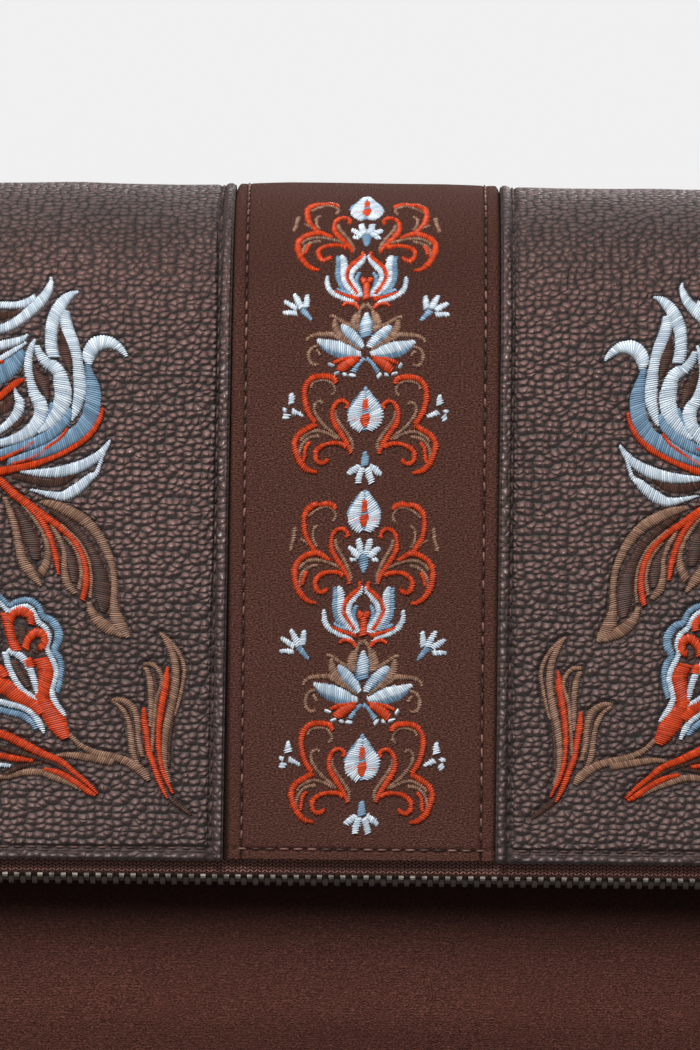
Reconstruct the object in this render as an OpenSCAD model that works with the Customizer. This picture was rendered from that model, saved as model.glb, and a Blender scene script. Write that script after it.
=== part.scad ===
/* [Bag] */
// Width of the body across its two gussets
bag_w = 280; // [240:1:320]
// Height of the crown of the flap above the floor
bag_h = 215; // [200:1:240]
// Drop of the sewn rim of the mouth below the axis of the roll
rim_drop = 8; // [7:0.5:24]
// Outer radius of the roll that the flap makes over the top
roll_r = 43; // [40:0.5:50]
// Radius of the upright corners, seen from above
corner_r = 10; // [8:0.5:16]
// Radius of the long lower edges, seen from the side
base_r = 15; // [10:0.5:20]

/* [Flap] */
// Distance of each end of the flap from the gusset's face
flap_inset = 2; // [0:0.5:20]
// Drop of the leather hem below the crown
flap_drop = 147.4; // [120:0.1:160]
// Room between the flap and the front of the body
flap_gap = 1.6; // [1.4:0.1:4]
// Visible width of the suede strip
strip_w = 57.7; // [30:0.1:90]
// Width of strip hidden under each leather panel
under_lap = 8; // [4:0.5:14]

/* [Materials] */
// Thickness of the leather
leather_t = 1.4; // [1:0.1:1.6]
// Thickness of the suede strip
suede_t = 1.2; // [0.8:0.1:1.4]
// Thickness of the velour
velour_t = 1.2; // [0.8:0.1:1.6]
// Thickness of the lining cloth
lining_t = 0.5; // [0.3:0.1:1]
// Thickness of the padding in the back
foam_t = 1.4; // [1:0.1:2]
// Thickness of the padding in the flap
flap_foam_t = 2.6; // [2:0.1:3]
// Thickness of the board in the base
board_t = 2; // [1.5:0.1:2.5]
// Height of a turned edge above the leather beside it
turned_rise = 0.5; // [0.2:0.1:0.8]
// Width of a turned edge
turned_w = 2.4; // [1.5:0.1:4]

/* [Zip] */
// Spacing of the teeth on one tape
tooth_pitch = 2.54; // [2.3:0.01:3]
// Width of one tooth along the chain
tooth_w = 1.1; // [0.8:0.01:1.15]
// Length of one tooth across the chain
tooth_l = 3.8; // [3.4:0.1:4]
// Thickness of one tooth
tooth_t = 2.4; // [2:0.1:2.6]
// Width of the closed chain
chain_w = 5.6; // [5.2:0.1:5.8]
// Thickness of the tape
tape_t = 0.6; // [0.4:0.05:0.7]
// Drop of the tape that shows below the leather hem
tape_show = 2.6; // [1.5:0.1:6]
// Height of tape sewn in above the hem
tape_hold = 11; // [8:0.5:16]
// Tilt of the chain, with its far side lower
chain_tilt = 20; // [12:1:24]
// Distance from the end of the flap to the zip stop
zip_end = 8; // [6:0.5:16]

/* [Strap] */
// Width of the strap
strap_w = 16; // [12:0.5:18]
// Thickness of the strap
strap_t = 2; // [1.5:0.1:2.4]
// Distance of the strap tabs from the back of the bag
tab_inset = 15; // [13:0.5:22]
// Drop of the bar of each D-ring below the rim
ring_drop = 14; // [12:0.5:18]
// Thickness of the wire of each D-ring
ring_wire = 3; // [2.4:0.1:3.2]
// Outward lean of each D-ring at rest
ring_lean = 26; // [25:1:32]

/* [Hidden] */

over = 1;
round_fn = 64;
wire_fn = 24;
leather_c = [0.31, 0.25, 0.24];
suede_c = [0.30, 0.17, 0.145];
velour_c = [0.26, 0.15, 0.125];
lining_c = [0.22, 0.14, 0.12];
foam_c = [0.55, 0.53, 0.5];
tape_c = [0.24, 0.12, 0.11];
metal_c = [0.72, 0.71, 0.68];

// Places that follow from the sizes above
roll_z = bag_h - roll_r;
rim_z = roll_z - rim_drop;
flap_w = bag_w - 2 * flap_inset;
bend_r = 0.8;
bend_lead = 0.1;
fold_gap = 0.3;
seat_gap = 0.3;
pad_depth = leather_t + suede_t;
zip_room = 2 * bend_r + (chain_w + 2 * bend_lead) * cos(chain_tilt) + seat_gap / 2;
flap_t = pad_depth + zip_room + velour_t;
back_y = roll_r;
front_y = -(roll_r - flap_t - flap_gap);
body_d = back_y - front_y;
hem_z = bag_h - flap_drop;
wall_t = pad_depth + foam_t;
seam_rise = 3;
seam_z = base_r + seam_rise;
panel_x = bag_w / 2 - corner_r;
binding_t = 0.8;
binding_h = 8;
ear_set = 2.5;

// A flat outline with round corners, lower corner at the origin
module rounded(w, h, r) {
  translate([r, 0]) square([w - 2 * r, h]);
  translate([0, r]) square([w, h - 2 * r]);
  for (x = [r, w - r], y = [r, h - r]) translate([x, y]) circle(r, $fn = round_fn);
}

// Draws a side outline (y across, z up) over a stretch of x
module along_x(x0, x1) {
  translate([x0, 0, 0]) rotate([90, 0, 90]) linear_extrude(x1 - x0) children();
}

module block(x0, x1, y0, y1, z0, z1) {
  translate([x0, y0, z0]) cube([x1 - x0, y1 - y0, z1 - z0]);
}

ear_r = body_d / 2 - corner_r - ear_set;
ear_y = front_y + corner_r + ear_r;

// The stuffed body, set in by inset on every face but the top
module soft_box(inset, top) {
  intersection() {
    translate([-(bag_w / 2 - inset), front_y + inset, inset])
      linear_extrude(top - inset)
        rounded(bag_w - 2 * inset, body_d - 2 * inset, corner_r - inset);
    along_x(-bag_w, bag_w)
      translate([front_y + inset, inset])
        rounded(body_d - 2 * inset, 2 * top, base_r - inset);
  }
}

module body_wall(inset, t, top) {
  difference() {
    soft_box(inset, top);
    soft_box(inset + t, top + over);
  }
}

// Body panels

module front_panel() {
  color(velour_c)
    intersection() {
      body_wall(0, velour_t, rim_z);
      block(-panel_x, panel_x, front_y - over, 0, seam_z, bag_h);
    }
}

module base_panel() {
  color(velour_c)
    intersection() {
      body_wall(0, velour_t, seam_z);
      block(-panel_x, panel_x, front_y - over, back_y + over, -over, seam_z);
    }
}

// Half disc that raises an end wall above the rim, under the roll of the flap
module ear(x0, x1, r, bottom) {
  intersection() {
    along_x(x0, x1) translate([ear_y, rim_z]) circle(r, $fn = round_fn);
    block(x0 - over, x1 + over, -bag_h, bag_h, bottom, bag_h);
  }
}

module gusset(side) {
  color(velour_c)
    mirror([side < 0 ? 1 : 0, 0, 0]) {
      intersection() {
        body_wall(0, velour_t, rim_z);
        block(panel_x, bag_w, front_y - over, back_y + over, -over, bag_h);
      }
      ear(bag_w / 2 - velour_t, bag_w / 2, ear_r, rim_z - over);
    }
}

// Back: two leather panels lap over the strip with a turned edge
module back_leather(side) {
  color(leather_c)
    mirror([side < 0 ? 1 : 0, 0, 0]) {
      block(strip_w / 2, panel_x, back_y - leather_t, back_y, seam_z, roll_z);
      block(strip_w / 2, strip_w / 2 + turned_w, back_y - leather_t, back_y + turned_rise,
        seam_z, roll_z);
    }
}

module back_strip() {
  color(suede_c)
    block(-strip_w / 2 - under_lap, strip_w / 2 + under_lap, back_y - pad_depth,
      back_y - leather_t, seam_z, roll_z);
}

module base_board() {
  edge = base_r;
  color(foam_c)
    translate([-(bag_w / 2 - edge), front_y + edge, velour_t])
      linear_extrude(board_t) rounded(bag_w - 2 * edge, body_d - 2 * edge, edge / 2);
}

magnet_r = 8;
magnet_t = 1.6;
magnet_rise = 26;
magnet_z = hem_z + magnet_rise;

module front_padding() {
  y = front_y + velour_t;
  t = wall_t - velour_t;
  margin = corner_r;
  color(foam_c)
    difference() {
      block(-panel_x + margin, panel_x - margin, y, y + t, seam_z, rim_z - binding_h - over);
      translate([0, y - over, magnet_z]) rotate([-90, 0, 0])
        cylinder(r = magnet_r + seat_gap, h = t + 2 * over, $fn = round_fn);
    }
}

module back_padding() {
  y = back_y - pad_depth;
  margin = corner_r;
  color(foam_c)
    block(-panel_x + margin, panel_x - margin, back_y - wall_t, y, seam_z, rim_z);
}

module body_magnet() {
  color(metal_c)
    translate([0, front_y + velour_t, magnet_z]) rotate([-90, 0, 0])
      cylinder(r = magnet_r, h = magnet_t, $fn = round_fn);
}

module lining() {
  face = bag_w / 2 - wall_t;
  color(lining_c) {
    body_wall(wall_t, lining_t, rim_z);
    for (side = [0, 1]) mirror([side, 0, 0])
      ear(face - lining_t, face, ear_r, rim_z - over);
  }
}

pocket_w = 150;
pocket_h = 85;
pocket_drop = 26;
pocket_top = rim_z - pocket_drop;

// Slip pocket on the back wall, sewn down on three sides
module slip_pocket() {
  y = back_y - wall_t - lining_t;
  slack = 2.5;
  color(lining_c)
    difference() {
      block(-pocket_w / 2, pocket_w / 2, y - slack, y, pocket_top - pocket_h, pocket_top);
      block(-pocket_w / 2 + lining_t, pocket_w / 2 - lining_t, y - slack + lining_t, y + over,
        pocket_top - pocket_h + lining_t, pocket_top + over);
    }
}

stack_t = wall_t + lining_t;

// Plan of the body walls, t thick, set in by inset
module wall_plan(inset, t) {
  difference() {
    translate([-bag_w / 2 + inset, front_y + inset])
      rounded(bag_w - 2 * inset, body_d - 2 * inset, corner_r - inset);
    translate([-bag_w / 2 + inset + t, front_y + inset + t])
      rounded(bag_w - 2 * inset - 2 * t, body_d - 2 * inset - 2 * t, corner_r - inset - t);
  }
}

// Leather binding over the raw edge of the front and round its corners
module mouth_binding() {
  color(leather_c)
    intersection() {
      difference() {
        translate([0, 0, rim_z - binding_h]) linear_extrude(binding_h + binding_t)
          wall_plan(-binding_t, stack_t + 2 * binding_t);
        translate([0, 0, -over]) linear_extrude(rim_z + over) wall_plan(0, stack_t);
      }
      block(-bag_w, bag_w, front_y - 2 * over, front_y + corner_r, 0, bag_h);
    }
}

// Leather binding over the arch of one gusset
module ear_binding(side) {
  face = bag_w / 2;
  bottom = rim_z + binding_t;
  color(leather_c)
    mirror([side < 0 ? 1 : 0, 0, 0])
      difference() {
        ear(face - stack_t - binding_t, face + binding_t, ear_r + binding_t, bottom);
        ear(face - stack_t - bag_w, face + bag_w, ear_r - binding_h, bottom - over);
        ear(face - stack_t, face, ear_r, bottom - over);
      }
}

// Flap: every layer follows the roll, from the back fold to the front hem

// Side outline of a layer that starts depth below the outer face
module layer_outline(depth, t, bottom) {
  difference() {
    translate([0, roll_z]) circle(roll_r - depth, $fn = 2 * round_fn);
    translate([0, roll_z]) circle(roll_r - depth - t, $fn = 2 * round_fn);
    translate([-bag_h, -bag_h]) square([2 * bag_h, bag_h + roll_z + fold_gap]);
  }
  translate([-(roll_r - depth), bottom]) square([t, roll_z + fold_gap - bottom]);
}

module flap_layer(x0, x1, depth, t, bottom) {
  along_x(x0, x1) layer_outline(depth, t, bottom);
}

edge_wall = 1.6;

module flap_leather(side) {
  x_in = strip_w / 2;
  x_out = flap_w / 2;
  color(leather_c)
    mirror([side < 0 ? 1 : 0, 0, 0]) {
      flap_layer(x_in, x_out, 0, leather_t, hem_z);
      flap_layer(x_in, x_in + turned_w, -turned_rise, turned_rise + leather_t, hem_z);
      flap_layer(x_out - edge_wall, x_out, 0, flap_t, hem_z);
      // Hem folded up behind the panel
      along_x(x_in, x_out)
        translate([-(roll_r - leather_t / 2), hem_z]) circle(leather_t / 2, $fn = wire_fn);
    }
}

module flap_strip() {
  color(suede_c) {
    flap_layer(-strip_w / 2 - under_lap, strip_w / 2 + under_lap, leather_t, suede_t, hem_z);
    along_x(-strip_w / 2, strip_w / 2)
      translate([-(roll_r - leather_t - suede_t / 2), hem_z]) circle(suede_t / 2, $fn = wire_fn);
  }
}

pad_bottom = hem_z + tape_hold + over;
core_x = flap_w / 2 - edge_wall;

module flap_padding() {
  color(foam_c) flap_layer(-core_x, core_x, pad_depth, flap_foam_t, pad_bottom);
}

// Thin cloth bag between the padding and the inner panel, open at the zip
module flap_pocket_lining() {
  depth = pad_depth + flap_foam_t;
  room = flap_t - velour_t - depth;
  color(lining_c)
    difference() {
      flap_layer(-core_x, core_x, depth, room, pad_bottom);
      intersection() {
        flap_layer(-core_x + lining_t, core_x - lining_t, depth + lining_t, room - 2 * lining_t,
          pad_bottom - over);
        block(-bag_w, bag_w, -bag_h, bag_h, 0, bag_h);
      }
    }
}

inner_drop = 1;
inner_bottom = hem_z - inner_drop;

module flap_inner_panel() {
  color(velour_c) flap_layer(-core_x, core_x, flap_t - velour_t, velour_t, inner_bottom);
}

module flap_magnet() {
  color(metal_c)
    translate([0, -(roll_r - flap_t + velour_t + lining_t), magnet_z]) rotate([90, 0, 0])
      cylinder(r = magnet_r, h = magnet_t, $fn = round_fn);
}

// Zip, drawn flat in its own place: x along it, y across to the far tape, z up
chain_half = chain_w / 2;
tape_mid = bend_r - tape_t / 2;
near_face = -(roll_r - pad_depth);
chain_y = near_face + bend_r + (chain_half + bend_lead) * cos(chain_tilt) - tape_mid * sin(chain_tilt);
chain_z = hem_z - tape_show - chain_half * sin(chain_tilt);
jaw_l = tooth_l * 0.42;
jaw_slot = jaw_l * 0.6;

module on_chain() {
  translate([0, chain_y, chain_z]) rotate([-chain_tilt, 0, 0]) children();
}

zip_x0 = -flap_w / 2 + zip_end;
zip_x1 = flap_w / 2 - zip_end;
stop_l = 1.8;
slider_l = 11;
slider_w = 8.6;
plate_t = 0.9;
slide_gap = 0.25;
slider_x = zip_x1 - stop_l - seat_gap - slider_l / 2;
teeth_x0 = zip_x0 + stop_l * 2;
teeth_x1 = slider_x - slider_l * 0.1;
tooth_count = floor((teeth_x1 - teeth_x0) / tooth_pitch);

// One tooth: jaws at the tape, a neck and a cupped head
module tooth() {
  half_t = tooth_t / 2;
  nose_shares = [0.72, 0.62];
  rotate([90, 0, 90]) linear_extrude(tooth_w)
    difference() {
      polygon([
        [-chain_half, -half_t * nose_shares[0]], [-chain_half + jaw_l * 0.25, -half_t],
        [-chain_half + jaw_l, -half_t], [-chain_half + tooth_l, -half_t * nose_shares[1]],
        [-chain_half + tooth_l, half_t * nose_shares[1]], [-chain_half + jaw_l, half_t],
        [-chain_half + jaw_l * 0.25, half_t], [-chain_half, half_t * nose_shares[0]]
      ]);
      translate([-chain_half - over, -tape_t / 2]) square([jaw_slot + over, tape_t]);
      translate([-chain_half + jaw_slot, 0]) circle(tape_t * 0.8, $fn = 16);
    }
}

module teeth_row(shift) {
  for (i = [0 : tooth_count - 1]) translate([teeth_x0 + shift + i * tooth_pitch, 0, 0]) tooth();
}

module zip_teeth_front() {
  color(metal_c) on_chain() teeth_row(0);
}

module zip_teeth_back() {
  color(metal_c) on_chain() mirror([0, 1, 0]) teeth_row(tooth_pitch / 2);
}

// Side outline of a tape: flat in the jaws, bent up, then straight up to the seam
module tape_outline(side) {
  turn = 90 - side * chain_tilt;
  root_y = side * (chain_half + bend_lead);
  weld = tape_t / 20;
  centre = [
    chain_y + root_y * cos(chain_tilt) + tape_mid * sin(chain_tilt),
    chain_z - root_y * sin(chain_tilt) + tape_mid * cos(chain_tilt)
  ];
  translate([chain_y, chain_z]) rotate(-chain_tilt)
    translate([side < 0 ? root_y - weld : root_y - jaw_slot - bend_lead, -tape_t / 2])
      square([jaw_slot + bend_lead + weld, tape_t]);
  reach = 2 * bend_r;
  translate(centre)
    intersection() {
      difference() {
        circle(bend_r, $fn = wire_fn);
        circle(bend_r - tape_t, $fn = wire_fn);
      }
      polygon([
        [0, 0], [side * reach, 0], [side * reach, -reach],
        reach * [-sin(chain_tilt), -cos(chain_tilt)]
      ]);
    }
  translate([side < 0 ? centre[0] - bend_r : centre[0] + bend_r - tape_t, centre[1] - weld])
    square([tape_t, hem_z + tape_hold - centre[1] + weld]);
}

module zip_tape(side) {
  color(tape_c) along_x(-core_x + seat_gap, core_x - seat_gap) tape_outline(side);
}

// Two small staples at the closed end and one joining stop at the other
module zip_stops() {
  h = tooth_t * 0.8;
  inner = chain_half - jaw_slot;
  color(metal_c) on_chain()
    for (y = [-1, 1]) {
      for (x = [zip_x0, zip_x1 - stop_l], z = [-1, 1])
        translate([x, y > 0 ? inner : -chain_half, z > 0 ? tape_t / 2 : -h / 2])
          cube([stop_l, jaw_slot, h / 2 - tape_t / 2]);
    }
}

slider_shares = [
  [-0.5, -0.36], [-0.42, -0.42], [0.15, -0.5], [0.42, -0.46], [0.5, -0.34],
  [0.5, 0.34], [0.42, 0.46], [0.15, 0.5], [-0.42, 0.42], [-0.5, 0.36]
];

module slider_outline(w) {
  polygon([for (p = slider_shares) [p[0] * slider_l, p[1] * w]]);
}

plate_z = tooth_t / 2 + slide_gap;
bar_r = 0.6;
bar_room = 0.7;
arch_h = 2 * bar_r + bar_room;
arch_w = 5;
arch_t = 0.9;
pivot_drop = plate_z + plate_t + arch_h / 2;

module on_slider() {
  on_chain() translate([slider_x, 0, 0]) children();
}

// Outer plate with guide flanges, post between the rows, narrow inner plate and crown
module zip_slider() {
  flange = 0.8;
  inner_w = chain_w * 0.75;
  crown_w = 1.6;
  color(metal_c) on_slider() {
    translate([0, 0, -plate_z - plate_t]) linear_extrude(plate_t) slider_outline(slider_w);
    translate([0, 0, -plate_z]) linear_extrude(plate_z - tape_t / 2 - slide_gap)
      difference() {
        slider_outline(slider_w);
        square([2 * slider_l, slider_w * 0.72 - flange + slide_gap], center = true);
      }
    translate([0, 0, plate_z]) linear_extrude(plate_t) slider_outline(inner_w);
    translate([0, 0, -plate_z]) linear_extrude(2 * plate_z)
      polygon([
        [slider_l * 0.12, 0], [slider_l * 0.26, -inner_w * 0.3], [slider_l * 0.44, 0],
        [slider_l * 0.26, inner_w * 0.3]
      ]);
    translate([0, crown_w / 2, -plate_z - plate_t]) rotate([90, 0, 0]) linear_extrude(crown_w)
      difference() {
        translate([-arch_w / 2 - arch_t, -arch_h - arch_t])
          rounded(arch_w + 2 * arch_t, arch_h + 2 * arch_t, arch_t);
        translate([-arch_w / 2, -arch_h]) square([arch_w, arch_h]);
        translate([-arch_w, 0]) square([2 * arch_w, arch_h + arch_t]);
      }
  }
}

puller_w = 7.4;
puller_l = 19;
puller_t = 1.2;

// Flat tab hung by a round bar through the crown
module zip_puller() {
  window_w = 4.4;
  window_room = 1.4;
  window_l = arch_w / 2 + arch_t + window_room;
  hole_r = 1.6;
  color(metal_c) on_slider() translate([0, 0, -pivot_drop]) {
    rotate([90, 0, 0]) cylinder(r = bar_r, h = window_w + over, center = true, $fn = wire_fn);
    translate([-puller_t / 2, 0, 0]) rotate([90, 0, 90]) linear_extrude(puller_t)
      difference() {
        translate([-puller_w / 2, -puller_l]) rounded(puller_w, puller_l + bar_r, bar_r);
        translate([-window_w / 2, -window_l]) square([window_w, window_l + 2 * bar_r]);
        translate([0, -puller_l + 2 * hole_r]) circle(hole_r, $fn = wire_fn);
      }
  }
}

// Strap hardware, drawn on the right and mirrored to the left
tab_y = back_y - tab_inset;
tab_t = 2 * leather_t;
loop_r = ring_wire / 2 + seat_gap + leather_t;
tab_drop = 27;
ring_x = bag_w / 2 + loop_r;
ring_z = rim_z - ring_drop;
strap_play = 2;
ring_bend = (strap_w + strap_play + ring_wire) / 2;
ring_leg = 4;
hang_x = ring_x + (ring_leg + ring_bend) * sin(ring_lean);
hang_z = ring_z - (ring_leg + ring_bend) * cos(ring_lean);

module sided(side) {
  mirror([side < 0 ? 1 : 0, 0, 0]) children();
}

// Leather loop round the bar of the ring, sewn flat on the gusset
module strap_tab(side) {
  face = bag_w / 2;
  bore_r = ring_wire / 2 + seat_gap;
  color(leather_c) sided(side)
    translate([0, tab_y + strap_w / 2, 0]) rotate([90, 0, 0]) linear_extrude(strap_w)
      difference() {
        union() {
          translate([ring_x, ring_z]) circle(loop_r, $fn = round_fn);
          translate([face, ring_z - tab_drop]) square([tab_t, tab_drop]);
        }
        translate([ring_x, ring_z]) circle(bore_r, $fn = round_fn);
      }
}

rivet_r = 2.2;
rivet_h = 0.9;

module rivet_cap(r) {
  cylinder(r = r, h = rivet_h / 2, $fn = wire_fn);
  translate([0, 0, rivet_h / 2]) cylinder(r1 = r, r2 = r * 0.6, h = rivet_h / 2, $fn = wire_fn);
}

module tab_rivets() {
  color(metal_c)
    for (side = [-1, 1], y = [-1, 1])
      sided(side)
        translate([bag_w / 2 + tab_t, tab_y + y * strap_w * 0.3, ring_z - tab_drop * 0.78])
          rotate([0, 90, 0]) rivet_cap(rivet_r);
}

// Upright D, its bar at the origin and its bow below
module d_wire(w, leg, r) {
  rotate([90, 0, 0]) cylinder(r = r, h = w, center = true, $fn = wire_fn);
  for (y = [-w / 2, w / 2]) translate([0, y, 0]) {
    sphere(r, $fn = wire_fn);
    translate([0, 0, -leg]) cylinder(r = r, h = leg, $fn = wire_fn);
  }
  translate([0, 0, -leg]) rotate([0, 90, 0]) rotate([0, 0, -90])
    rotate_extrude(angle = 180, $fn = round_fn) translate([w / 2, 0]) circle(r, $fn = wire_fn);
}

module d_ring(side) {
  color(metal_c) sided(side)
    translate([ring_x, tab_y, ring_z]) rotate([0, -ring_lean, 0])
      d_wire(2 * ring_bend, ring_leg, ring_wire / 2);
}

hook_wire = 2.6;
hook_r = 5;
ring_play = 0.5;
hook_leg = 8.4;
shoulder_h = 6;
shoulder_t = 5;
hook_z = hang_z + ring_wire / 2 + ring_play - (hook_r - hook_wire / 2);
shoulder_z = hook_z - hook_leg;
shoulder_r = 1.6;
pivot_set = 2.4;
pivot_z = shoulder_z - pivot_set;
pin_r = 0.6;
pin_play = 0.15;
gate_r = 1.1;
knuckle_w = 2.6;
nose_l = 1.4;
eye_w = strap_w + strap_play;
eye_r = 1.4;
boss_h = 2.8;
stem_r = 1.5;
stem_play = 0.2;
head_t = 1;
boss_wall = 1.7;
eye_drop = 9;
boss_z = shoulder_z - shoulder_h - seat_gap - boss_h;
eye_z = boss_z - eye_drop;

module on_hook(side) {
  sided(side) translate([hang_x, tab_y, 0]) children();
}

// Snap hook: bow and fixed leg, forked shoulder with the gate's pin, headed stem below
module snap_hook(side) {
  half = hook_r + hook_wire / 2;
  slot_w = knuckle_w + seat_gap;
  slot_x = 1.8;
  slot_drop = 2;
  color(metal_c) on_hook(side) {
    translate([0, 0, hook_z]) rotate([90, 0, 0])
      rotate_extrude(angle = 180, $fn = round_fn)
        translate([hook_r, 0]) circle(hook_wire / 2, $fn = wire_fn);
    translate([-hook_r, 0, shoulder_z - over])
      cylinder(r = hook_wire / 2, h = hook_leg + over, $fn = wire_fn);
    translate([hook_r, 0, hook_z - nose_l]) cylinder(r = hook_wire / 2, h = nose_l, $fn = wire_fn);
    difference() {
      translate([0, shoulder_t / 2, shoulder_z - shoulder_h]) rotate([90, 0, 0])
        linear_extrude(shoulder_t) translate([-half, 0]) rounded(2 * half, shoulder_h, shoulder_r);
      translate([slot_x, -slot_w / 2, pivot_z - slot_drop]) cube([half, slot_w, shoulder_h]);
    }
    translate([hook_r, 0, pivot_z]) rotate([90, 0, 0])
      cylinder(r = pin_r, h = shoulder_t, center = true, $fn = wire_fn);
    translate([0, 0, boss_z - seat_gap - head_t]) {
      cylinder(r = stem_r, h = boss_h + 2 * seat_gap + head_t + over, $fn = wire_fn);
      cylinder(r = stem_r + head_t, h = head_t, $fn = wire_fn);
    }
  }
}

// Sprung gate: an arm on a bored knuckle
module hook_gate(side) {
  knuckle_r = 1.7;
  arm_foot = knuckle_r * 0.6;
  color(metal_c) on_hook(side) translate([hook_r, 0, pivot_z])
    difference() {
      union() {
        rotate([90, 0, 0]) cylinder(r = knuckle_r, h = knuckle_w, center = true, $fn = wire_fn);
        translate([0, 0, arm_foot])
          cylinder(r = gate_r, h = hook_z - nose_l - seat_gap - pivot_z - arm_foot, $fn = wire_fn);
      }
      rotate([90, 0, 0]) cylinder(r = pin_r + pin_play, h = 2 * knuckle_w, center = true, $fn = wire_fn);
    }
}

// Swivel eye: a bored boss over a frame whose lower bar carries the strap
module swivel_eye(side) {
  half = eye_w / 2 + eye_r;
  boss_r = stem_r + boss_wall;
  top_z = boss_z + boss_h / 2;
  color(metal_c) on_hook(side)
    difference() {
      union() {
        translate([0, 0, boss_z]) cylinder(r = boss_r, h = boss_h, $fn = wire_fn);
        for (z = [top_z, eye_z]) translate([0, 0, z]) rotate([90, 0, 0])
          cylinder(r = eye_r, h = 2 * half, center = true, $fn = wire_fn);
        for (y = [-half, half]) {
          translate([0, y, eye_z]) cylinder(r = eye_r, h = top_z - eye_z, $fn = wire_fn);
          for (z = [top_z, eye_z]) translate([0, y, z]) sphere(eye_r, $fn = wire_fn);
        }
      }
      translate([0, 0, boss_z - over])
        cylinder(r = stem_r + stem_play, h = boss_h + 2 * over, $fn = wire_fn);
    }
}

// Strap: its two ends turn over the eye bars; the rest hangs down behind the back and
// lies on the floor in three runs
strap_room = 1.3;
floor_y = back_y + turned_rise + strap_room + strap_w / 2;
lap_gap = 0.15;
lap = strap_t + lap_gap;
turn_r = 6;
low_r = 10;
end_l = 24;
turn_inset = 22;
turn_x = bag_w / 2 - turn_inset;
run_z = [for (i = [0 : 2]) strap_t / 2 + i * lap];
over_z = run_z[1] + 2 * turn_r + lap;
drop_x = hang_x + lap / 2;
loop_mid = eye_r + seat_gap + strap_t / 2;

function arc(cx, cz, r, a0, a1, n) =
  [for (i = [0 : n]) let (a = a0 + (a1 - a0) * i / n) [cx + r * cos(a), cz + r * sin(a)]];
function eased(t) = let (u = min(max(t, 0), 1)) u * u * (3 - 2 * u);
function flipped(points) =
  [for (i = [len(points) - 1 : -1 : 0]) [-points[i][0], points[i][1]]];

// Side route of one end, from the tip of the lap to the foot of the drop (x outward, z up)
function end_route(foot_z) = concat(
  [[hang_x - lap / 2, eye_z - end_l], [hang_x - lap / 2, eye_z - end_l * 0.4]],
  arc(hang_x, eye_z, loop_mid, 180, 0, 10),
  [[drop_x, eye_z - end_l * 0.4], [drop_x, eye_z - end_l]],
  [for (i = [1 : 7]) [drop_x, eye_z - end_l - (eye_z - end_l - foot_z - low_r) * i / 7]],
  arc(drop_x - low_r, foot_z + low_r, low_r, -15, -90, 5)
);

strap_route = concat(
  end_route(run_z[0]),
  [[-turn_x, run_z[0]]],
  arc(-turn_x, run_z[0] + turn_r, turn_r, 255, 105, 8),
  [[-turn_x, run_z[0] + 2 * turn_r]],
  [for (i = [1 : 4]) [-turn_x + i * turn_r, run_z[0] + 2 * turn_r
    - (2 * turn_r - lap) * eased(i / 4)]],
  [[turn_x, run_z[1]]],
  arc(turn_x, run_z[1] + turn_r, turn_r, -75, 75, 8),
  [[turn_x, run_z[1] + 2 * turn_r]],
  [for (i = [1 : 4]) [turn_x - i * turn_r, run_z[1] + 2 * turn_r
    - (2 * turn_r - lap) * eased(i / 4)]],
  [for (i = [0 : 4]) [-turn_x + (9 - i) * turn_r, run_z[2] + (over_z - run_z[2]) * eased(i / 4)]],
  flipped(end_route(over_z))
);

function strap_y(p) =
  let (top = eye_z - end_l, foot = low_r + strap_t)
    tab_y + (floor_y - tab_y) * eased((top - p[1]) / (top - foot - over_z / 2));

module strap() {
  last = len(strap_route) - 1;
  function way(i) =
    let (a = strap_route[max(i - 1, 0)], b = strap_route[min(i + 1, last)], d = b - a)
      d / norm(d);
  rings = [
    for (i = [0 : last]) let (p = strap_route[i], t = way(i), n = [-t[1], t[0]] * strap_t / 2)
      for (c = [[1, -1], [1, 1], [-1, 1], [-1, -1]])
        [p[0] + c[0] * n[0], strap_y(p) + c[1] * strap_w / 2, p[1] + c[0] * n[1]]
  ];
  sides = [
    for (i = [0 : last - 1], k = [0 : 3])
      let (a = 4 * i + k, b = 4 * i + (k + 1) % 4) [a, b, b + 4, a + 4]
  ];
  color(leather_c)
    polyhedron(rings, concat([[3, 2, 1, 0]], sides, [[for (k = [0 : 3]) 4 * last + k]]));
}

module strap_rivets() {
  z = eye_z - end_l * 0.72;
  color(metal_c)
    for (side = [-1, 1]) sided(side) {
      translate([drop_x + strap_t / 2, tab_y, z]) rotate([0, 90, 0]) rivet_cap(1.4 * rivet_r);
      translate([hang_x - lap / 2 - strap_t / 2, tab_y, z]) rotate([0, -90, 0])
        rivet_cap(1.4 * rivet_r);
    }
}

front_panel();
base_panel();
gusset(-1);  // gusset_left
gusset(1);  // gusset_right
back_leather(-1);  // back_leather_left
back_leather(1);  // back_leather_right
back_strip();
base_board();
front_padding();
back_padding();
lining();
slip_pocket();
mouth_binding();
ear_binding(-1);  // ear_binding_left
ear_binding(1);  // ear_binding_right
body_magnet();
flap_leather(-1);  // flap_leather_left
flap_leather(1);  // flap_leather_right
flap_strip();
flap_padding();
flap_pocket_lining();
flap_inner_panel();
flap_magnet();
zip_tape(-1);  // zip_tape_front
zip_tape(1);  // zip_tape_back
zip_teeth_front();
zip_teeth_back();
zip_stops();
zip_slider();
zip_puller();
strap_tab(-1);  // strap_tab_left
strap_tab(1);  // strap_tab_right
tab_rivets();
d_ring(-1);  // d_ring_left
d_ring(1);  // d_ring_right
snap_hook(-1);  // snap_hook_left
snap_hook(1);  // snap_hook_right
hook_gate(-1);  // hook_gate_left
hook_gate(1);  // hook_gate_right
swivel_eye(-1);  // swivel_eye_left
swivel_eye(1);  // swivel_eye_right
strap();
strap_rivets();
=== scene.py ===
import math

import bpy
import numpy as np
from mathutils import Matrix, Vector, kdtree


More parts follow.
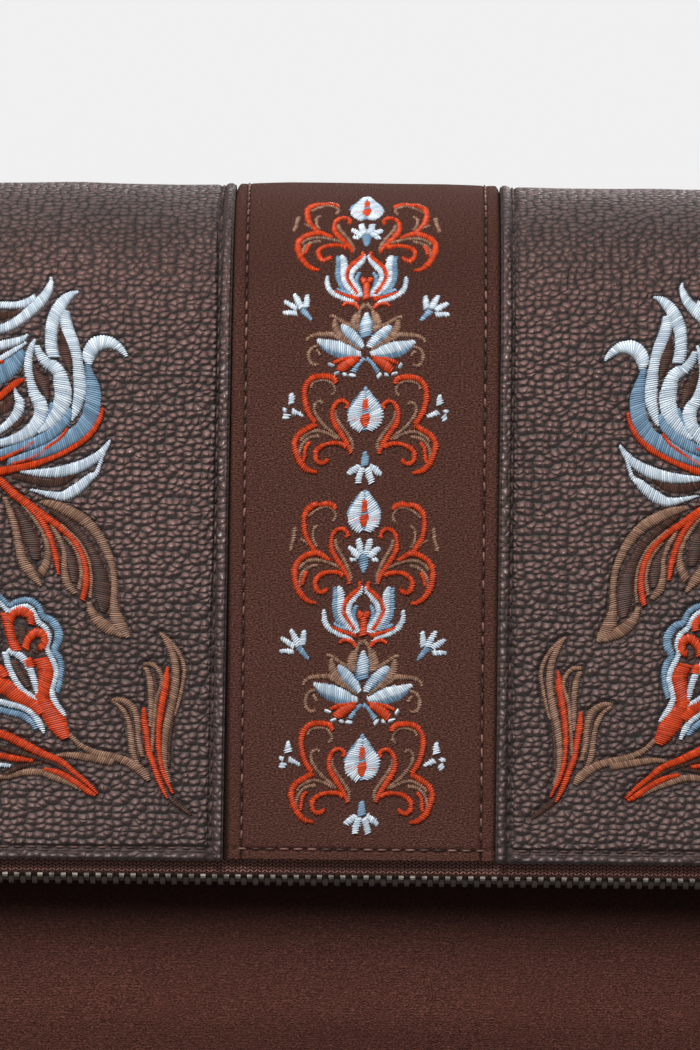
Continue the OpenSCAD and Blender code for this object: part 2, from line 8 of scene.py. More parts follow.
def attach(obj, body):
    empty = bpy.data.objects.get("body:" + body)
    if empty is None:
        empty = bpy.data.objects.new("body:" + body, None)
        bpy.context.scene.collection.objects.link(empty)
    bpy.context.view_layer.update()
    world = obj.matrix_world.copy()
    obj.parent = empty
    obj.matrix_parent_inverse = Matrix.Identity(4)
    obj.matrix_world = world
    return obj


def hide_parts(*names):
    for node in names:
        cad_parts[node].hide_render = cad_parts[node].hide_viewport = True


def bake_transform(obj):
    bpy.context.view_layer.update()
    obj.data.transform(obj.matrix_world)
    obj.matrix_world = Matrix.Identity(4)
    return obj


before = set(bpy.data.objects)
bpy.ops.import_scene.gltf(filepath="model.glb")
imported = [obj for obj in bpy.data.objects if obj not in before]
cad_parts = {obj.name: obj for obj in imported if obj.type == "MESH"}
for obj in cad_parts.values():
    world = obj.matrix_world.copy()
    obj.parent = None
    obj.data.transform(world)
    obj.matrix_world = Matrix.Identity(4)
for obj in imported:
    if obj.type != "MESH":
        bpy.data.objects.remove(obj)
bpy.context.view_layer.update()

mm = 0.001
print("stage: frame loaded")

# The main sizes of the bag in mm, the same as in the part's source
bag = {
    "halfWidth": 140, "frontY": -30.4, "backY": 43, "rimZ": 164, "cornerR": 10, "baseR": 15,
    "seamZ": 18, "panelX": 130, "rollR": 43, "rollZ": 172, "hemZ": 67.6, "flapHalf": 138,
    "stripHalf": 28.85, "flapT": 11, "crownRise": 1.4, "earR": 24.2, "earY": 3.8,
}
sideWords = {-1: "Left", 1: "Right"}
rollLength = bag["rollR"] * math.pi / 2  # arc from the crown to where the front goes straight
hemS = rollLength + bag["rollZ"] - bag["hemZ"]  # arc from the crown to the hem

# Camera: its eye in mm, its lens and the longer side of its film in mm, its picture in pixels

view = {"eye": (-3.1, -2043, 141), "lens": 315, "longSide": 36, "roll": math.radians(0.55),
        "width": 700, "height": 1050}


def makeCamera():
    data = bpy.data.cameras.new("camera")
    data.sensor_fit = "VERTICAL"
    data.sensor_height = view["longSide"]
    data.lens = view["lens"]
    data.clip_start, data.clip_end = 0.05, 20
    camera = bpy.data.objects.new("camera", data)
    bpy.context.scene.collection.objects.link(camera)
    turn = Matrix.Rotation(-view["roll"], 4, "Y") @ Matrix.Rotation(math.pi / 2, 4, "X")
    camera.matrix_world = Matrix.Translation(Vector(view["eye"]) * mm) @ turn
    bpy.context.scene.camera = camera


def pixelToFlap(px, py, onStrip=False):  # place on the flap's face seen at a pixel: x and the arc from the crown
    px, py = np.asarray(px, float), np.asarray(py, float)
    step = view["longSide"] / view["height"] / view["lens"]
    across, up = (px - view["width"] / 2) * step, (view["height"] / 2 - py) * step
    c, s = math.cos(view["roll"]), math.sin(view["roll"])
    ex, ey, ez = view["eye"]
    arc = np.linspace(-5, hemS + 20, 1200)
    _, y, z = flapToSpace(0 * arc, arc, stripTop(0 * arc, arc) - strip["depth"] if onStrip else 0 * arc)
    slope = (z - ez) / (y - ey)
    top = int(np.argmax(slope))
    found = np.interp(across * s + up * c, slope[top:][::-1], arc[top:][::-1])
    far = np.interp(found, arc, y) - ey
    return ex + far * (across * c - up * s), found


# Helpers for node trees

def feed(tree, node, inputs):  # an input takes a link where it is given an output, and a value otherwise
    for name, value in inputs.items():
        if isinstance(value, bpy.types.NodeSocket):
            tree.links.new(value, node.inputs[name])
        else:
            node.inputs[name].default_value = value


def addNode(tree, kind, inputs=None, **settings):
    node = tree.nodes.new("ShaderNode" + kind)
    for name, value in settings.items():
        setattr(node, name, value)
    feed(tree, node, inputs or {})
    return node


def rgb(color):  # a screen colour, 0 to 255, as the linear colour a socket takes
    return tuple((c / 255 / 12.92) if c <= 10 else ((c / 255 + 0.055) / 1.055) ** 2.4 for c in color) + (1,)


def math2(tree, how, a, b=0.0):
    return addNode(tree, "Math", {0: a, 1: b}, operation=how).outputs[0]


def times(tree, a, b):
    return math2(tree, "MULTIPLY", a, b)


def plus(tree, a, b):
    return math2(tree, "ADD", a, b)


def vector2(tree, how, a, b):
    return addNode(tree, "VectorMath", {0: a, ("Scale" if how == "SCALE" else 1): b}, operation=how).outputs[0]


def ramp(tree, value, low, high, lowOut=0.0, highOut=1.0):
    span = {"Value": value, "From Min": low, "From Max": high, "To Min": lowOut, "To Max": highOut}
    return addNode(tree, "MapRange", span, interpolation_type="SMOOTHSTEP").outputs[0]


def mixColor(tree, share, first, second):
    return addNode(tree, "Mix", {0: share, 6: first, 7: second}, data_type="RGBA").outputs[2]


def noise(tree, place, scale, detail, **more):
    return addNode(tree, "TexNoise", {"Vector": place, "Scale": scale, "Detail": detail, **more}).outputs


def startGroup(name, inputs, outputs):
    group = bpy.data.node_groups.new(name, "ShaderNodeTree")
    for way, labels in (("INPUT", inputs), ("OUTPUT", outputs)):
        for label, kind in labels.items():
            group.interface.new_socket(label, in_out=way, socket_type="NodeSocket" + kind)
    return group, group.nodes.new("NodeGroupInput").outputs, group.nodes.new("NodeGroupOutput")


def useGroup(tree, group, inputs):
    return addNode(tree, "Group", inputs, node_tree=group).outputs


# Light: a plain pale background, a weak even fill and two round lamps (place in m, size in m, power in W)

light = {"background": (0.871, 0.871, 0.871, 1), "fill": 0.2, "aim": (0, 0, 0.12),
         "lamps": {"key": ((-0.32, -1.12, 1.32), 0.9, 45), "back": ((0.8, 1.45, 1.05), 1.0, 27)}}


def makeLight():
    world = bpy.data.worlds.new("studio")
    bpy.context.scene.world = world
    world.use_nodes = True
    tree = world.node_tree
    tree.nodes.clear()
    shown = addNode(tree, "Background", {"Color": light["background"]}).outputs[0]
    fill = addNode(tree, "Background", {"Color": (1, 1, 1, 1), "Strength": light["fill"]}).outputs[0]
    ray = addNode(tree, "LightPath").outputs
    direct = math2(tree, "MAXIMUM", ray["Is Camera Ray"], ray["Is Transmission Ray"])
    mix = addNode(tree, "MixShader", {0: direct, 1: fill, 2: shown}).outputs[0]
    addNode(tree, "OutputWorld", {"Surface": mix})
    for name, (place, size, power) in light["lamps"].items():
        data = bpy.data.lights.new(name, "AREA")
        data.shape, data.size, data.energy = "DISK", size, power
        lamp = bpy.data.objects.new(name, data)
        bpy.context.scene.collection.objects.link(lamp)
        aim = Vector(light["aim"]) - Vector(place)
        lamp.matrix_world = Matrix.Translation(place) @ aim.to_track_quat("-Z", "Y").to_matrix().to_4x4()
    bpy.context.scene.view_settings.view_transform = "Standard"


makeCamera()
makeLight()
print("stage: camera and light")

# Materials, each kept in finishes under its own name

finishes = {}
pebble = {"warpScale": 260.0, "warpDepth": 0.0016, "randomness": 0.68, "softness": 0.35, "domeTo": 0.72,
          "domeHeight": 1.25, "lip": (-0.03, 0.22), "lipHeight": 0.3, "fineScale": 2300.0, "fineHeight": 0.2,
          "creaseShade": (0.26, 0.66), "creaseShadeShare": 0.65, "rimTo": 0.14, "rimShare": 0.35}


def makePebbleGroup(name, dimensions):  # tumbled grain: rounded pebbles with deep soft creases, and a mask for painted shade in the creases and round each pebble's rim
    group, given, out = startGroup(name, {"Vector": "Vector", "Size": "Float"},
                                   {"Height": "Float", "CreaseShade": "Float", "Cell": "Float"})
    warp = noise(group, given["Vector"], pebble["warpScale"], 2.0)["Color"]
    shift = vector2(group, "SCALE", vector2(group, "SUBTRACT", warp, (0.5, 0.5, 0.5)), pebble["warpDepth"])
    grain = {"Vector": vector2(group, "ADD", given["Vector"], shift),
             "Scale": math2(group, "DIVIDE", 1.0, given["Size"]), "Randomness": pebble["randomness"]}

    def cells(feature, **more):
        return addNode(group, "TexVoronoi", {**grain, **more}, feature=feature,
                       voronoi_dimensions=dimensions).outputs

    near = cells("F1")["Color"]
    soft = cells("SMOOTH_F1", Smoothness=pebble["softness"])["Distance"]
    edge = cells("DISTANCE_TO_EDGE")["Distance"]
    dome, lip = ramp(group, soft, 0.0, pebble["domeTo"], 1.0, 0.0), ramp(group, edge, *pebble["lip"])
    height = plus(group, times(group, dome, pebble["domeHeight"]), times(group, lip, pebble["lipHeight"]))
    small = times(group, noise(group, given["Vector"], pebble["fineScale"], 3.0)[0], pebble["fineHeight"])
    # the crease mask: where shade is painted into the creases and round each pebble's rim
    low = times(group, ramp(group, soft, *pebble["creaseShade"]), pebble["creaseShadeShare"])
    rim = times(group, ramp(group, edge, 0.0, pebble["rimTo"], 1.0, 0.0), pebble["rimShare"])
    feed(group, out, {"Height": plus(group, height, small), "CreaseShade": plus(group, low, rim),
                      "Cell": addNode(group, "SeparateColor", {0: near}).outputs[0]})
    return group


def byPitch(group, given):  # the place counted in pitches, whole and as its three parts
    place = vector2(group, "SCALE", given["Vector"], math2(group, "DIVIDE", 1.0, given["Pitch"]))
    return place, addNode(group, "SeparateXYZ", {0: place}).outputs


def makeWeaveGroup():  # short brushed fibres over a fine knit
    group, given, out = startGroup("napYarns", {"Vector": "Vector", "Pitch": "Float", "Fuzz": "Float"},
                                   {"Height": "Float", "Shade": "Float"})
    place, parts = byPitch(group, given)
    x, y, z = (math2(group, "SINE", times(group, part, math.tau)) for part in parts)
    woven = plus(group, times(group, x, y), times(group, y, z))
    fibre = noise(group, vector2(group, "MULTIPLY", place, (0.75, 1.25, 1.25)), 1.5, 3.0, Roughness=0.65)[0]
    speck = ramp(group, fibre, 0.28, 0.72)
    height = plus(group, times(group, woven, 0.2), times(group, speck, given["Fuzz"]))
    feed(group, out, {"Height": height, "Shade": speck})
    return group


def makePatchGroup():  # slow uneven patches, for handling, dye and dust
    group, given, out = startGroup("patches", {"Vector": "Vector", "Size": "Float"}, {"Mask": "Float"})
    soft = noise(group, given["Vector"], math2(group, "DIVIDE", 1.0, given["Size"]), 4.0)[0]
    feed(group, out, {"Mask": ramp(group, soft, 0.3, 0.7)})
    return group


def makeHerringboneGroup():  # zip tape: slanting floats that turn back at every rib; the colour follows the height, a painted highlight on the floats and painted shade in the hollows
    group, given, out = startGroup("herringbone", {"Vector": "Vector", "Pitch": "Float"},
                                   {"Height": "Float", "Shade": "Float"})
    place, parts = byPitch(group, given)
    rib = math2(group, "PINGPONG", parts[0], 1.0)
    slant = plus(group, times(group, rib, 0.9), parts[1])
    thread = math2(group, "SINE", times(group, slant, math.tau))
    turned = ramp(group, math2(group, "ABSOLUTE", math2(group, "SUBTRACT", rib, 0.5)), 0.3, 0.5, 1.0, 0.0)
    height = times(group, plus(group, thread, 1.0), turned)
    height = plus(group, height, times(group, noise(group, place, 3.0, 3.0)[0], 0.8))
    feed(group, out, {"Height": height, "Shade": ramp(group, height, 0.3, 1.9)})
    return group


pebbleGroup, trimGroup = makePebbleGroup("pebbleGrain", "2D"), makePebbleGroup("trimGrain", "3D")
weaveGroup, patchGroup, herringboneGroup = makeWeaveGroup(), makePatchGroup(), makeHerringboneGroup()


def startMaterial(name, roughness, specular=0.5, metallic=0.0):
    finishes[name] = material = bpy.data.materials.new(name)
    material.use_nodes = True
    tree = material.node_tree
    shader = tree.nodes["Principled BSDF"]
    feed(tree, shader, {"Roughness": roughness, "Specular IOR Level": specular, "Metallic": metallic})
    return tree, shader


def endMaterial(tree, shader, height, depth, inputs):  # depth is the bump's, in metres
    bump = addNode(tree, "Bump", {"Height": height, "Distance": depth, "Strength": 1.0})
    feed(tree, shader, {"Normal": bump.outputs[0], **inputs})


def objectPlace(tree):
    return addNode(tree, "TexCoord").outputs["Object"]


def patternPlace(tree):
    return addNode(tree, "UVMap", uv_map="pattern").outputs[0]


def toneOf(tree, label):
    return addNode(tree, "Attribute", attribute_name=label).outputs["Fac"]


def patches(tree, size):
    return useGroup(tree, patchGroup, {"Vector": objectPlace(tree), "Size": size})["Mask"]


def linear(colors):
    return {label: rgb(color) for label, color in colors.items()}


def makeLeather(name, colors, size, depth, roughness, onPattern=False):
    tree, shader = startMaterial(name, roughness, 0.6)
    tints = linear(colors)
    place = objectPlace(tree)
    if onPattern:  # the grain is a little wider than high
        place = vector2(tree, "MULTIPLY", patternPlace(tree), (0.94, 1.2, 1))
    grain = useGroup(tree, pebbleGroup if onPattern else trimGroup, {"Vector": place, "Size": size})
    base = mixColor(tree, grain["Cell"], tints["base"], tints["light"])
    base = mixColor(tree, times(tree, patches(tree, 0.03), 0.25), base, tints["dark"])
    # painted shade: the creases between pebbles are darkened towards the dark colour
    base = mixColor(tree, grain["CreaseShade"], base, tints["dark"])
    height = grain["Height"]
    gloss = ramp(tree, grain["CreaseShade"], 0.0, 1.0, roughness, min(roughness + 0.3, 1))
    if onPattern:
        smooth, pressed = toneOf(tree, "smooth"), toneOf(tree, "pressed")
        base = mixColor(tree, times(tree, smooth, 0.6), base, tints["edge"])
        # painted shade: darkened where the piece's shade mask is set; the same mask also roughens the surface and
        # flattens the grain
        base = mixColor(tree, times(tree, pressed, 0.8), base, tints["dark"])
        height = times(tree, height, ramp(tree, smooth, 0.0, 1.0, 1.0, 0.4))
        height = times(tree, height, ramp(tree, pressed, 0.5, 1.0, 1.0, 0.2))
        gloss = plus(tree, gloss, times(tree, pressed, 0.6))
    endMaterial(tree, shader, height, depth, {"Base Color": base, "Roughness": gloss})


def makeCloth(name, colors, pitch, depth, fuzz, sheen=0.0, onPattern=False):
    tree, shader = startMaterial(name, 0.95, 0.12)
    tints = linear(colors)
    place = patternPlace(tree) if onPattern else objectPlace(tree)
    yarn = useGroup(tree, weaveGroup, {"Vector": place, "Pitch": pitch, "Fuzz": fuzz})
    base = mixColor(tree, yarn["Shade"], tints["dark"], tints["light"])
    base = mixColor(tree, times(tree, patches(tree, 0.02), 0.3), base, tints["base"])
    # painted shade: darkened where the piece's shade mask is set
    base = mixColor(tree, toneOf(tree, "pressed"), base, rgb(0.4 * c for c in colors["dark"]))
    endMaterial(tree, shader, yarn["Height"], depth, {
        "Base Color": base, "Sheen Weight": sheen, "Sheen Roughness": 0.35, "Sheen Tint": tints["light"]})


def makeTape(name, colors, pitch, depth):
    tree, shader = startMaterial(name, 0.8, 0.2)
    tints = linear(colors)
    weave = useGroup(tree, herringboneGroup, {"Vector": patternPlace(tree), "Pitch": pitch})
    # painted highlight on the weave's floats and painted shade in its hollows
    base = mixColor(tree, weave["Shade"], tints["dark"], tints["light"])
    base = mixColor(tree, times(tree, patches(tree, 0.01), 0.3), base, tints["base"])
    endMaterial(tree, shader, weave["Height"], depth, {"Base Color": base})


def makeMetal(name, color, darkerTone, roughness):
    tree, shader = startMaterial(name, roughness, 0.5, 1.0)
    patch = patches(tree, 0.004)
    scratch = noise(tree, objectPlace(tree), 900.0, 3.0)[0]
    endMaterial(tree, shader, scratch, 0.00003, {
        "Base Color": mixColor(tree, patch, rgb(color), rgb(darkerTone)),
        "Roughness": ramp(tree, patch, 0.0, 1.0, roughness, roughness + 0.12)})


def makeThread(name, base, light, dark):
    tree, shader = startMaterial(name, 0.5, 0.22)
    fibre = noise(tree, objectPlace(tree), 3000.0, 2.0)[0]
    # the thread tone mixes dark to light: random for each thread, with painted shade between rows of satin
    color = mixColor(tree, toneOf(tree, "thread"), rgb(dark), rgb(light))
    color = mixColor(tree, times(tree, fibre, 0.3), color, rgb(base))
    endMaterial(tree, shader, fibre, 0.00005, {"Base Color": color})


makeLeather("leather", {"base": (112, 84, 79), "light": (134, 103, 97), "dark": (14, 7, 6), "edge": (64, 44, 41)},
            size=0.00175, depth=0.00105, roughness=0.28, onPattern=True)
makeLeather("leatherTrim", {"base": (84, 62, 58), "light": (98, 74, 69), "dark": (40, 26, 24)},
            size=0.0013, depth=0.00022, roughness=0.38)
makeCloth("suede", {"base": (84, 52, 44), "light": (122, 80, 68), "dark": (42, 20, 16)},
          pitch=0.0006, depth=0.0003, fuzz=1.3, sheen=0.15, onPattern=True)
makeCloth("velour", {"base": (84, 48, 40), "light": (114, 70, 59), "dark": (48, 23, 18)},
          pitch=0.0006, depth=0.0002, fuzz=1.6, sheen=0.15)
makeCloth("liningCloth", {"base": (58, 38, 32), "light": (70, 48, 40), "dark": (44, 28, 24)},
          pitch=0.0007, depth=0.0001, fuzz=0.4)
makeTape("zipTape", {"base": (130, 84, 76), "light": (208, 148, 134), "dark": (44, 22, 19)},
         pitch=0.0008, depth=0.0003)
makeCloth("foam", {"base": (140, 136, 128), "light": (155, 150, 142), "dark": (120, 116, 110)},
          pitch=0.0015, depth=0.0002, fuzz=1.5)
makeCloth("board", {"base": (122, 100, 78), "light": (140, 117, 92), "dark": (100, 80, 62)},
          pitch=0.002, depth=0.0001, fuzz=1.0)
makeMetal("zipMetal", (110, 102, 95), (78, 72, 67), roughness=0.48)
makeMetal("nickel", (196, 192, 186), (160, 156, 150), roughness=0.2)
makeMetal("magnetSteel", (120, 118, 116), (96, 94, 92), roughness=0.35)
threadColors = {  # base, light, dark; the dark colour also serves as painted shade between rows of satin thread
    "stitch": ((62, 44, 40), (92, 68, 62), (28, 17, 15)),
    "suede": ((86, 56, 48), (128, 92, 81), (32, 18, 15)),
    "white": ((212, 222, 230), (234, 240, 244), (112, 130, 146)),
    "blue": ((122, 154, 180), (146, 178, 202), (54, 76, 96)),
    "orange": ((206, 64, 22), (226, 80, 28), (116, 28, 8)),
    "tan": ((146, 111, 90), (174, 136, 112), (64, 40, 32)),
    "brown": ((68, 43, 35), (96, 63, 51), (24, 13, 10)),
}
for word, tints in threadColors.items():
    makeThread(word + "Thread", *tints)
print("stage: materials")


# Helpers for meshes

def gridPiece(name, columns, rows, place):  # a primitive grid whose corners 0..1 are laid by place(u, v), in mm
    bpy.ops.object.select_all(action="DESELECT")
    bpy.ops.mesh.primitive_grid_add(x_subdivisions=columns, y_subdivisions=rows, size=2)
    piece = bpy.context.object
    piece.name = piece.data.name = name
    flat = np.empty(len(piece.data.vertices) * 3, np.float32)
    piece.data.vertices.foreach_get("co", flat)
    flat = flat.reshape(-1, 3).astype(float)
    u, v = (flat[:, 0] + 1) / 2, (flat[:, 1] + 1) / 2
    x, y, z = place(u, v)
    points = np.stack([x + 0 * u, y + 0 * u, z + 0 * u], 1) * mm
    piece.data.vertices.foreach_set("co", points.astype(np.float32).ravel())
    piece.data.update()
    return piece


def makeActive(piece):
    bpy.ops.object.select_all(action="DESELECT")
    piece.select_set(True)
    bpy.context.view_layer.objects.active = piece


def applied(piece, kind, **settings):
    makeActive(piece)
    modifier = piece.modifiers.new(kind.lower(), kind)
    for name, value in settings.items():
        setattr(modifier, name, value)
    bpy.ops.object.modifier_apply(modifier=modifier.name)


def closeUp(piece, seams=1e-6, sides=0):  # seams merged, open ends filled, faces turned outward; None skips a step
    makeActive(piece)
    bpy.ops.object.mode_set(mode="EDIT")
    bpy.ops.mesh.select_all(action="SELECT")
    if seams is not None:
        bpy.ops.mesh.remove_doubles(threshold=seams)
    if sides is not None:
        bpy.ops.mesh.fill_holes(sides=sides)
    bpy.ops.mesh.normals_make_consistent(inside=False)
    bpy.ops.object.mode_set(mode="OBJECT")


def keepTone(piece, label, values):  # a number at each point, which the material reads
    tone = piece.data.attributes.new(label, "FLOAT", "POINT")
    tone.data.foreach_set("value", np.asarray(values, np.float32))


def threadPiece(name, verts, faces, shades):
    mesh = bpy.data.meshes.new(name)
    mesh.from_pydata(verts * mm, [], faces)
    piece = bpy.data.objects.new(name, mesh)
    bpy.context.scene.collection.objects.link(piece)
    keepTone(piece, "thread", shades)
    return piece


def thicken(piece, thickness):  # the wall grows inward from the face that was laid
    applied(piece, "SOLIDIFY", thickness=thickness * mm, offset=-1, use_even_offset=False)


def flapToSpace(x, s, h):  # h is the height above the flap's leather face; the stuffing lifts the crown a little
    angle = np.clip(s / bag["rollR"], -math.pi / 2, math.pi / 2)
    r = bag["rollR"] + h + bag["crownRise"] * np.cos(angle) * np.clip(1 + h / bag["flapT"], 0, 1)
    return x, -r * np.sin(angle), bag["rollZ"] + r * np.cos(angle) - np.maximum(np.abs(s) - rollLength, 0)


def patternMap(piece, x, y):  # the flat pattern in metres, kept as the piece's own UV map
    layer = piece.data.uv_layers.get("pattern") or piece.data.uv_layers.new(name="pattern")
    corners = np.empty(len(piece.data.loops), np.int32)
    piece.data.loops.foreach_get("vertex_index", corners)
    uv = np.stack([x[corners], y[corners]], 1) * mm
    layer.data.foreach_set("uv", uv.astype(np.float32).ravel())


def dress(piece, finish, body=None, stands=(), angle=50):
    piece.data.materials.clear()
    piece.data.materials.append(finishes[finish])
    makeActive(piece)
    bpy.ops.object.shade_smooth_by_angle(angle=math.radians(angle))
    if stands:
        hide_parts(*stands)
    if body:
        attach(piece, body)
    return piece


def eased(t):  # from 0 to 1 with soft ends
    u = np.clip(t, 0, 1)
    return u * u * (3 - 2 * u)


def sampled(at, run, points):  # the rows of points, read at other places along their run
    return np.stack([np.interp(at, run, column) for column in points.T], -1)


def between(u, points):  # the columns of rows of points, read at u from 0 to 1
    points = np.asarray(points, float)
    return sampled(u, np.linspace(0, 1, len(points)), points).T


def arcPoints(cx, cy, r, start, end, count):
    angles = np.radians(np.linspace(start, end, count))
    return list(zip(cx + r * np.cos(angles), cy + r * np.sin(angles)))


def runOf(points):  # the length along a line up to each of its points
    return np.concatenate([[0], np.cumsum(np.linalg.norm(np.diff(points, axis=0), axis=1))])


def evenWay(points, spacing=None, count=None):  # points respaced evenly along their own line
    points = np.asarray(points, float)
    run = runOf(points)
    count = count or max(2, int(run[-1] / spacing) + 1)
    return sampled(np.linspace(0, run[-1], count), run, points)


def softNoise(x, y, size, seed):  # slow even waves, the same each run
    a = np.sin(x / size * 1.3 + seed + 1.7 * np.sin(y / size * 0.9 + seed * 2.1))
    b = np.sin(y / size * 1.1 + 2.3 * seed + 1.3 * np.sin(x / size * 0.7 + 1.1))
    return (a + b + a * b) / 3


# Leather panels: one sheet each side, from the base seam up the back, over the roll to the hem

stitch = {"length": 2.15, "radius": 0.24, "sides": 6, "pitch": 3.05, "along": (-1, -0.72, -0.25, 0.25, 0.72, 1),
          "rise": (-0.3, 0.02, 0.16, 0.16, 0.02, -0.3), "thick": (0.5, 0.9, 1, 1, 0.9, 0.5)}
seams = {"edge": (0.5, 0.3, 0.68), "hem": (0.3, 0.34, 0.7), "end": (0.14, 0.3, 0.6),
         "strip": (0.2, 0.3, 0.45), "stripHem": (0.2, 0.3, 0.5)}  # depth of the dent, more at a hole, width
sunk = {"edge": -0.36, "hem": -0.34, "end": -0.3, "strip": 0.04}  # height of the stitches in each
leatherPanel = {"thickness": 1.3, "edgeHalf": 1.15, "edgeRise": 0.8, "stitchIn": 2.75, "endStitch": 4, "endR": 1.5,
                "hemR": 0.75, "hemStitch": 2.7, "puff": 0.22, "columns": 132, "rows": 470}
strip = {"depth": 1.4, "under": 31.5, "thickness": 1.0, "crown": 0.95, "topRise": 0.7, "stitchX": 26.1, "rows": 330}
backEndS = -(rollLength + bag["rollZ"] - bag["seamZ"])


def stripEdge(side, s):  # the edge of each panel runs a little out of true, as sewn
    down = np.clip(np.asarray(s, float) / hemS, 0, 1)
    return bag["stripHalf"] + (down * 1.2 + 0.1 if side < 0 else 0.6 - down * 0.2)


def groove(run, off, seam):  # the dent of a stitch line at a distance off, deeper at each needle hole
    depth, hole, width = seams[seam]
    needle = (0.5 + 0.5 * np.cos(run / stitch["pitch"] * math.tau)) ** 3
    return (depth + hole * needle) * np.exp(-(off / width) ** 2)


def leatherTop(side, x, s):  # height of a panel's face over its plain surface, x measured outward
    e = x - stripEdge(side, s)
    tube = leatherPanel["edgeHalf"]
    puff = leatherPanel["puff"] * (softNoise(x * side, s, 12.0, 1.5 + side) + 0.6 * softNoise(x * side, s, 5.1, 4.0))
    calm = np.clip((e - 4) / 8, 0, 1) * np.clip((bag["flapHalf"] - x) / 10, 0, 1) * np.clip((hemS - 4 - s) / 9, 0, 1)
    h = puff * calm
    rise = leatherPanel["edgeRise"] * (0.4 + 0.6 * np.clip(np.abs(s) / 30, 0, 1))
    h = h + rise * np.sqrt(np.clip(1 - ((e - tube) / (1.15 * tube)) ** 2, 0, 1))
    h = h - groove(s, e - leatherPanel["stitchIn"], "edge")
    toHem = hemS - s - leatherPanel["hemStitch"]
    h = h - groove(x, toHem, "hem") * (e > 2)
    h = h + 0.12 * np.exp(-((toHem + 1.3) / 0.6) ** 2)
    onFlap = np.clip((s + 55) / 8, 0, 1)
    return h - onFlap * groove(s, bag["flapHalf"] - x - leatherPanel["endStitch"], "end")


def stripTop(x, s):  # height of the strip's nap over its plain surface, swelling up beside the leather
    ax = np.abs(x)
    room = np.where(x < 0, stripEdge(-1, s), stripEdge(1, s)) - 0.1 - ax
    h = 0.1 * softNoise(x, s, 12.0, 3.0) - groove(s, ax - strip["stitchX"], "strip")
    h = h + (strip["crown"] + strip["topRise"] * np.exp(-(s / 16) ** 2)) * np.clip(room / 0.9, 0, 1) ** 0.55
    h = h + strip["crown"] * 0.35 * np.clip((strip["stitchX"] - ax) / 9, 0, 1) ** 0.7
    return h - groove(x, hemS - s - leatherPanel["hemStitch"], "stripHem")


def spineOf(points, step):  # a smooth even line through spine points (x, s, width), in mm
    p = np.array(points, float)
    ends = np.vstack([2 * p[0] - p[1], p, 2 * p[-1] - p[-2]])
    t = np.linspace(0, 1, 12, endpoint=False)[:, None]
    parts = []
    for a, b, c, d in zip(ends, ends[1:], ends[2:], ends[3:]):
        parts.append(0.5 * (2 * b + (c - a) * t + (2 * a - 5 * b + 4 * c - d) * t ** 2
                            + (3 * b - a - 3 * c + d) * t ** 3))
    fine = np.vstack(parts + [p[-1:]])
    run = runOf(fine[:, :2])
    return sampled(np.linspace(0, run[-1], max(4, int(run[-1] / step))), run, fine)


# Embroidery: each stroke is a spine of (across, down, width) in the picture's own pixels

